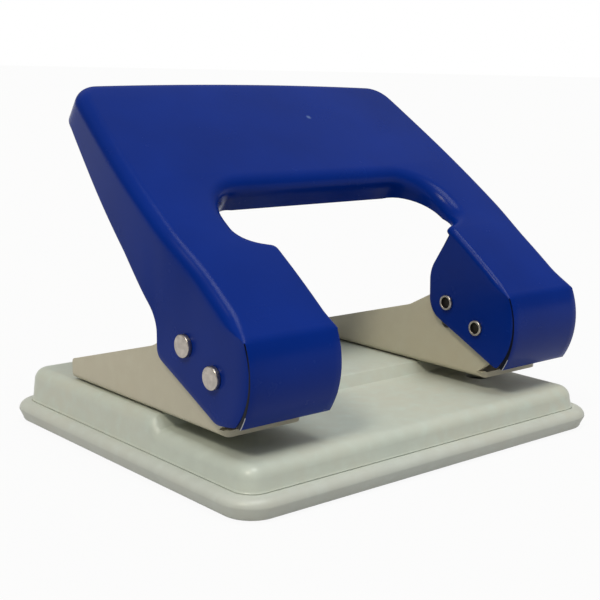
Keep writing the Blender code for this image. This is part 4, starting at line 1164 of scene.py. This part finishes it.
class PUNCH_OT_plate(bpy.types.Operator):
    """Press the base plate, with its round crest, the table and the stop"""

    bl_idname = "punch.plate"
    bl_label = "Base plate"

    def execute(self, context):
        look = context.scene.punch_base
        foot = TRAY_GROOVE_FLOOR + SEAT_GAP
        lip_top = TRAY_LIP_SIDE + TRAY_LIP_RISE
        steps = 10
        bm = bmesh.new()
        wall = [
            (PLATE_INSET, foot),
            (PLATE_INSET, lip_top - PLATE_BEAD),
            (PLATE_INSET - PLATE_BEAD / 2, lip_top + PLATE_BEAD),
            (PLATE_INSET + PLATE_BEAD / 2, lip_top + 2 * PLATE_BEAD),
            (PLATE_INSET + PLATE_BEAD, lip_top + 4 * PLATE_BEAD),
        ]
        rings = [base_ring(bm, inset, lambda y, level=height: level) for inset, height in wall]
        for step in range(steps + 1):
            turn = step / steps * math.pi / 2
            inset = PLATE_INSET + PLATE_WALL_DRAFT
            inset += PLATE_CREST_RADIUS * (1.0 - math.cos(turn))
            drop = PLATE_CREST_RADIUS * (1.0 - math.sin(turn))
            rings.append(base_ring(bm, inset, lambda y, low=drop: table_top(y) - low))
        loft(bm, rings)
        crest = rings[-1]
        half = len(crest) // 2
        for index in range(half - 1):
            mirror = len(crest) - 1 - index
            bm.faces.new((crest[index], crest[index + 1], crest[mirror - 1], crest[mirror]))
        bmesh.ops.recalc_face_normals(bm, faces=bm.faces)
        bm.faces.ensure_lookup_table()
        if bm.faces[-1].normal.z < 0.0:
            bmesh.ops.reverse_faces(bm, faces=bm.faces)
        finish = baked_paint("plate_paint", look.plate, (0.53, 0.53, 0.45))
        plate = add_piece("plate_pressing", bm, [finish])
        thicken(plate, PLATE_SHEET)
        holes = []
        for _, sign in SIDES:
            spots = [(PUNCH_Y, PUNCH_RADIUS + SEAT_GAP)]
            spots += [(y, SHANK_RADIUS + SEAT_GAP) for y in fixing_rows()]
            for y, radius in spots:
                spot = (sign * HALF_SPACING, y, LAND_HEIGHT)
                holes.append(cut(plate, round_cutter(radius, 4 * OVERRUN, spot)))
        settle(plate)
        discard(holes)
        dress(plate, "base", "base_paint", "base_plate")
        return {"FINISHED"}


def round_cutter(radius, length, place, axis="Z"):
    """A round cutter centred on its place."""
    turn = Matrix.Rotation(math.pi / 2, 4, "Y") if axis == "X" else Matrix.Identity(4)
    profile = [(0.0, -length / 2), (radius, -length / 2), (radius, length / 2), (0.0, length / 2)]
    return turned("cutter", profile, [], Matrix.Translation(place) @ turn)


def fixing_rows():
    """The two places along each bracket where it is riveted to the plate."""
    return (STOP_Y + FIXING_FRONT_SETBACK, PIVOT.y + BRACKET_REAR - FIXING_REAR_INSET)


def bracket_side_outline(steps=12):
    """Outline of a bracket seen from the side, with its cheek round the pivot."""
    cheek_top = PIVOT_ABOVE_BRACKET + BRACKET_CHEEK_RADIUS
    notch = BRACKET_SHEET + SEAT_GAP
    outline = rounded_outline((
        (BRACKET_REAR, -OVERRUN, 0.0),
        (BRACKET_REAR, BRACKET_REAR_HEIGHT, BRACKET_REAR_ROUND),
        (BRACKET_KINK_REACH, BRACKET_KINK_HEIGHT, BRACKET_KINK_RADIUS),
        (BRACKET_SHOULDER_REACH, cheek_top, BRACKET_SHOULDER_RADIUS),
        (0.0, cheek_top, 0.0),
    ), steps, closed=False)
    sweep = math.pi - math.acos(BRACKET_CHEEK_RADIUS / (PIVOT_ABOVE_BRACKET - notch))
    for step in range(1, 2 * steps + 1):
        turn = math.pi / 2 + sweep * step / (2 * steps)
        u = BRACKET_CHEEK_RADIUS * math.cos(turn)
        v = PIVOT_ABOVE_BRACKET + BRACKET_CHEEK_RADIUS * math.sin(turn)
        outline.append(Vector((u, v)))
    outline.append(Vector((0.0, notch)))
    outline.append(Vector((-BRACKET_NOSE, notch)))
    outline.append(Vector((-BRACKET_NOSE, -OVERRUN)))
    return [Vector((PIVOT.y + u, BRACKET_FLOOR + v)) for u, v in outline]


def nose_corner_outline(x, hand, steps=10):
    """What rounding one front corner of a bracket's floor takes away, from above."""
    edge = x + hand * BRACKET_WIDTH / 2
    front = PIVOT.y - BRACKET_NOSE
    beside = (edge, front + BRACKET_NOSE_RADIUS)
    ahead = (edge - hand * BRACKET_NOSE_RADIUS, front)
    arc = fillet(ahead, (edge, front), beside, BRACKET_NOSE_RADIUS, steps)
    clear = edge + hand * OVERRUN
    corners = [Vector((clear, beside[1])), Vector((clear, front - OVERRUN))]
    corners.append(Vector((ahead[0], front - OVERRUN)))
    return corners + arc


def drive_slot_outline(steps=12):
    """Curved slot that the drive pin sweeps in a bracket's cheeks."""
    half = SHANK_RADIUS + SLOT_PLAY
    begin = REST_ANGLE - DRIVE_BELOW_FACE
    end = begin - math.radians(JOINTS["lever_hinge"]["range_deg"][1])
    points = []
    outer = (DRIVE_RADIUS + half, begin, end, end)
    inner = (DRIVE_RADIUS - half, end, begin, begin + math.pi)
    for radius, first, last, outward in (outer, inner):
        for step in range(steps + 1):
            turn = first + (last - first) * step / steps
            points.append(Vector((radius * math.cos(turn), radius * math.sin(turn))))
        centre = Vector((DRIVE_RADIUS * math.cos(last), DRIVE_RADIUS * math.sin(last)))
        for step in range(1, steps):
            turn = outward - step / steps * math.pi
            points.append(centre + half * Vector((math.cos(turn), math.sin(turn))))
    return [Vector((PIVOT.y + u, PIVOT.z + v)) for u, v in points]


class PUNCH_OT_brackets(bpy.types.Operator):
    """Fold the two channels that carry the arms"""

    bl_idname = "punch.brackets"
    bl_label = "Brackets"

    def execute(self, context):
        look = context.scene.punch_base
        finish = baked_paint("bracket_paint", look.cream, (0.52, 0.47, 0.35))
        for side, sign in SIDES:
            self.fold("bracket_" + side, sign * HALF_SPACING, finish)
        return {"FINISHED"}

    def fold(self, node, x, finish):
        """One channel: folded, cut to its outline, rounded at its front corners and pierced."""
        half = BRACKET_WIDTH / 2
        top = PIVOT.z + BRACKET_CHEEK_RADIUS + OVERRUN
        section = rounded_outline((
            (x - half, top, 0.0),
            (x - half, BRACKET_FLOOR, BRACKET_BEND_RADIUS),
            (x + half, BRACKET_FLOOR, BRACKET_BEND_RADIUS),
            (x + half, top, 0.0),
        ), 8, closed=False)
        front = PIVOT.y - BRACKET_CHEEK_RADIUS - OVERRUN
        rear = PIVOT.y + BRACKET_REAR + 2 * OVERRUN
        bm = bmesh.new()
        near = [bm.verts.new((u, front, v)) for u, v in section]
        far = [bm.verts.new((u, rear, v)) for u, v in section]
        for index in range(len(section) - 1):
            bm.faces.new((near[index], near[index + 1], far[index + 1], far[index]))
        bmesh.ops.recalc_face_normals(bm, faces=bm.faces)
        bm.faces.ensure_lookup_table()
        floor = min(bm.faces, key=lambda face: face.calc_center_median().z)
        if floor.normal.z > 0.0:
            bmesh.ops.reverse_faces(bm, faces=bm.faces)
        bracket = add_piece(node + "_channel", bm, [finish])
        thicken(bracket, BRACKET_SHEET)
        reach = half + OVERRUN
        outline = bracket_side_outline()
        cutters = [cut(bracket, prism("outline", outline, x - reach, x + reach, side_view),
                       "INTERSECT")]
        for _, hand in SIDES:
            corner = nose_corner_outline(x, hand)
            over = BRACKET_FLOOR + BRACKET_SHEET + SEAT_GAP / 2
            nose = prism("nose", corner, BRACKET_FLOOR - OVERRUN, over, plan_view)
            cutters.append(cut(bracket, nose))
        slot = prism("slot", drive_slot_outline(), x - reach, x + reach, side_view)
        cutters.append(cut(bracket, slot))
        pin = SHANK_RADIUS + SEAT_GAP
        cutters.append(cut(bracket, round_cutter(pin, 2 * reach, (x, *PIVOT.yz), "X")))
        spots = [(PUNCH_Y, PUNCH_RADIUS + SEAT_GAP)] + [(y, pin) for y in fixing_rows()]
        for y, radius in spots:
            hole = round_cutter(radius, 2 * OVERRUN, (x, y, BRACKET_FLOOR))
            cutters.append(cut(bracket, hole))
        settle(bracket)
        discard(cutters)
        dress(bracket, "base", "cream_paint", node)


class PUNCH_OT_fixings(bpy.types.Operator):
    """Turn the rivets that hold the brackets down and the sleeves round the pivots"""

    bl_idname = "punch.fixings"
    bl_label = "Fixings"

    def execute(self, context):
        nickel = rubbed_metal("fixing_nickel", context.scene.punch_steel.nickel, 0.3)
        seat = BRACKET_SHEET + SEAT_GAP / 3
        under = -(PLATE_SHEET + SEAT_GAP + 0.1 * MM)
        tail = under - FIXING_TAIL_HEIGHT
        lip = FIXING_TAIL_HEIGHT / 3
        dome = []
        for step in range(11):
            turn = step / 10 * math.pi / 2
            height = seat + lip + (FIXING_HEAD_HEIGHT - lip) * math.cos(turn)
            dome.append((FIXING_HEAD_RADIUS * math.sin(turn), height))
        profile = dome + [(FIXING_HEAD_RADIUS, seat), (SHANK_RADIUS, seat)]
        profile += soft_profile((
            (SHANK_RADIUS, under, 0.0),
            (FIXING_TAIL_RADIUS, under, 0.2 * MM),
            (FIXING_TAIL_RADIUS, tail, 0.3 * MM),
            (FIXING_BORE_RADIUS, tail, 0.3 * MM),
            (FIXING_BORE_RADIUS, under, 0.0),
        ))
        profile.append((0.0, under))
        rows = dict(zip(("front", "rear"), fixing_rows()))
        for side, sign in SIDES:
            for row, y in rows.items():
                place = Matrix.Translation((sign * HALF_SPACING, y, BRACKET_FLOOR))
                node = "fixing_rivet_" + row + "_" + side
                rivet = turned(node + "_turned", profile, [nickel], place)
                dress(rivet, "base", "nickel_plate", node)
            self.sleeve(side, sign, nickel)
        return {"FINISHED"}

    def sleeve(self, side, sign, nickel):
        """Spacer tube round one pivot rivet."""
        low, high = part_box("pivot_sleeve_" + side)
        half = (high.x - low.x) / 2
        outer = (high.z - low.z) / 2
        inner = SHANK_RADIUS + SEAT_GAP
        soft = 0.15 * MM
        profile = [(inner, -half + soft), (inner + soft, -half), (outer - soft, -half)]
        profile += [(outer, -half + soft), (outer, half - soft), (outer - soft, half)]
        profile += [(inner + soft, half), (inner, half - soft)]
        turn = Matrix.Rotation(math.pi / 2, 4, "Y")
        place = Matrix.Translation((sign * HALF_SPACING, *PIVOT.yz)) @ turn
        tube = turned("pivot_sleeve_" + side + "_tube", profile, [nickel], place)
        dress(tube, "base", "nickel_plate", "pivot_sleeve_" + side)


class PUNCH_OT_punches(bpy.types.Operator):
    """Finish the punches and their washers, and wind the return springs"""

    bl_idname = "punch.punches"
    bl_label = "Punches"

    def execute(self, context):
        bright = rubbed_metal("punch_steel", context.scene.punch_steel.steel, 0.25)
        for side, _ in SIDES:
            for name in ("punch_", "spring_washer_"):
                node = frame["nodes"][name + side]
                node.data.materials.clear()
                node.data.materials.append(bright)
            self.wind(side, bright)
        return {"FINISHED"}

    def wind(self, side, steel):
        """One compression spring with closed ends, as a smooth tube of wire."""
        node = "return_spring_" + side
        low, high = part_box(node)
        middle = (low + high) / 2
        radius = (high.x - low.x - SPRING_WIRE) / 2
        bottom = low.z + SPRING_WIRE / 2
        top = high.z - SPRING_WIRE / 2
        inner_turns = SPRING_TURNS - 2
        middle_rise = (top - bottom - 2 * SPRING_END_RISE) / inner_turns
        curve = bpy.data.curves.new(node + "_wire", "CURVE")
        curve.dimensions = "3D"
        curve.bevel_depth = SPRING_WIRE / 2
        curve.bevel_resolution = 3
        curve.use_fill_caps = True
        spline = curve.splines.new("POLY")
        count = SPRING_TURNS * SPRING_POINTS
        spline.points.add(count)
        for step in range(count + 1):
            turns = step / SPRING_POINTS
            height = bottom + SPRING_END_RISE * min(turns, 1.0)
            height += middle_rise * min(max(turns - 1.0, 0.0), inner_turns)
            height += SPRING_END_RISE * max(turns - SPRING_TURNS + 1, 0.0)
            x = middle.x + radius * math.cos(turns * 2 * math.pi)
            y = middle.y + radius * math.sin(turns * 2 * math.pi)
            spline.points[step].co = (x, y, height, 1.0)
        curve.materials.append(steel)
        spring = bpy.data.objects.new(node + "_wire", curve)
        bpy.context.scene.collection.objects.link(spring)
        dress(spring, "base", "tool_steel", node)


# Stage


def shown_rays(tree):
    """1 for the rays that show the background: from the camera, a reflection or glass."""
    path = tree.nodes.new("ShaderNodeLightPath")
    total = path.outputs["Is Camera Ray"]
    for ray in ("Is Glossy Ray", "Is Transmission Ray"):
        total = combine(tree, "MAXIMUM", total, path.outputs[ray])
    return total


class PUNCH_OT_stage(bpy.types.Operator):
    """Set the floor, the lights and the camera"""

    bl_idname = "punch.stage"
    bl_label = "Stage"

    def execute(self, context):
        look = context.scene.punch_stage
        self.add_floor(look)
        self.add_sun("overhead_lamp", look.overhead, OVERHEAD_SPREAD, OVERHEAD_TOWARD,
                     OVERHEAD_TINT)
        self.add_sun("side_lamp", look.side, SIDE_SPREAD, SIDE_TOWARD, SIDE_TINT)
        self.set_world(context.scene, look)
        self.add_camera(context.scene)
        context.scene.view_settings.view_transform = "Standard"
        return {"FINISHED"}

    def add_floor(self, look):
        """A wide pale sheet under the punch."""
        material, tree, shader, place = start_material("floor_paper", 0.9, specular=0.1)
        tone = ramp(tree, noise(tree, place, 6.0), 0.3, 0.7)
        colour = mix(tree, tone, scaled(look.floor, 0.99), look.floor)
        link(tree, colour, shader.inputs["Base Color"])
        white = tree.nodes.new("ShaderNodeEmission")
        blend = tree.nodes.new("ShaderNodeMixShader")
        output = shader.outputs["BSDF"].links[0].to_node
        glow = combine(tree, "MULTIPLY", shown_rays(tree), FLOOR_GLOW)
        link(tree, glow, blend.inputs["Fac"])
        link(tree, shader.outputs["BSDF"], blend.inputs[1])
        link(tree, white.outputs["Emission"], blend.inputs[2])
        link(tree, blend.outputs[0], output.inputs["Surface"])
        bm = bmesh.new()
        bmesh.ops.create_grid(bm, x_segments=4, y_segments=4, size=FLOOR_REACH)
        bmesh.ops.translate(bm, verts=bm.verts, vec=(0.0, 0.0, -FLOOR_DROP))
        add_piece("floor", bm, [material])

    def add_sun(self, name, strength, angle, toward, colour):
        """A soft light from far off, shining from the direction toward."""
        light = bpy.data.lights.new(name, "SUN")
        light.color = colour
        light.energy = strength
        light.angle = angle
        sun = bpy.data.objects.new(name, light)
        sun.rotation_euler = Vector(toward).to_track_quat("Z", "Y").to_euler()
        bpy.context.scene.collection.objects.link(sun)

    def set_world(self, scene, look):
        """A plain studio: dim walls, a bright ceiling, and white low down where it's seen."""
        world = bpy.data.worlds.new("studio")
        world.use_nodes = True
        scene.world = world
        tree = world.node_tree
        tree.nodes.clear()
        output = tree.nodes.new("ShaderNodeOutputWorld")
        shown = tree.nodes.new("ShaderNodeBackground")
        place = tree.nodes.new("ShaderNodeTexCoord")
        split = tree.nodes.new("ShaderNodeSeparateXYZ")
        link(tree, place.outputs["Generated"], split.inputs[0])
        height = split.outputs["Z"]
        studio = ramp(tree, height, 0.45, 0.75, look.walls, look.ceiling)
        low = combine(tree, "MULTIPLY", ramp(tree, height, 0.17, 0.07), shown_rays(tree))
        link(tree, mix(tree, low, studio, (1.0, 1.0, 1.0)), shown.inputs["Color"])
        link(tree, shown.outputs[0], output.inputs["Surface"])

    def add_camera(self, scene):
        """The photograph's own viewpoint."""
        level = math.cos(CAMERA_PITCH)
        forward = Vector((math.sin(CAMERA_YAW) * level, math.cos(CAMERA_YAW) * level,
                          -math.sin(CAMERA_PITCH)))
        right = Vector((math.cos(CAMERA_YAW), -math.sin(CAMERA_YAW), 0.0))
        up = right.cross(forward)
        across = right * math.cos(CAMERA_ROLL) + up * math.sin(CAMERA_ROLL)
        above = up * math.cos(CAMERA_ROLL) - right * math.sin(CAMERA_ROLL)
        turn = Matrix((across, above, -forward)).transposed().to_4x4()
        data = bpy.data.cameras.new("photo_view")
        data.lens = CAMERA_LENS
        data.sensor_fit = "HORIZONTAL"
        data.clip_start = 0.01
        camera = bpy.data.objects.new("photo_view", data)
        camera.matrix_world = Matrix.Translation(CAMERA_PLACE) @ turn
        scene.collection.objects.link(camera)
        scene.camera = camera


class PUNCH_PT_panel(bpy.types.Panel):
    """Lists the steps that build the punch"""

    bl_idname = "PUNCH_PT_panel"
    bl_label = "Desk punch"
    bl_space_type = "VIEW_3D"
    bl_region_type = "UI"
    bl_category = "Desk punch"

    def draw(self, context):
        for operator in OPERATORS:
            self.layout.operator(operator.bl_idname)


OPERATORS = (PUNCH_OT_stage, PUNCH_OT_lever, PUNCH_OT_rivets, PUNCH_OT_plate, PUNCH_OT_tray,
             PUNCH_OT_brackets, PUNCH_OT_fixings, PUNCH_OT_punches)
LOOKS = (("punch_lever", LeverLook), ("punch_base", BaseLook), ("punch_steel", SteelLook),
         ("punch_stage", StageLook))


def register():
    """Register the classes and hang their settings on the scene."""
    for name, group in LOOKS:
        bpy.utils.register_class(group)
        setattr(bpy.types.Scene, name, PointerProperty(type=group))
    for operator in OPERATORS:
        bpy.utils.register_class(operator)
    bpy.utils.register_class(PUNCH_PT_panel)


def unregister():
    """Take everything back that register added."""
    bpy.utils.unregister_class(PUNCH_PT_panel)
    for operator in reversed(OPERATORS):
        bpy.utils.unregister_class(operator)
    for name, group in reversed(LOOKS):
        delattr(bpy.types.Scene, name)
        bpy.utils.unregister_class(group)


def main():
    """Build all the pieces."""
    register()
    bpy.ops.punch.stage()
    bpy.ops.punch.lever()
    bpy.ops.punch.rivets()
    bpy.ops.punch.plate()
    bpy.ops.punch.tray()
    bpy.ops.punch.brackets()
    bpy.ops.punch.fixings()
    bpy.ops.punch.punches()


if __name__ == "__main__":
    main()
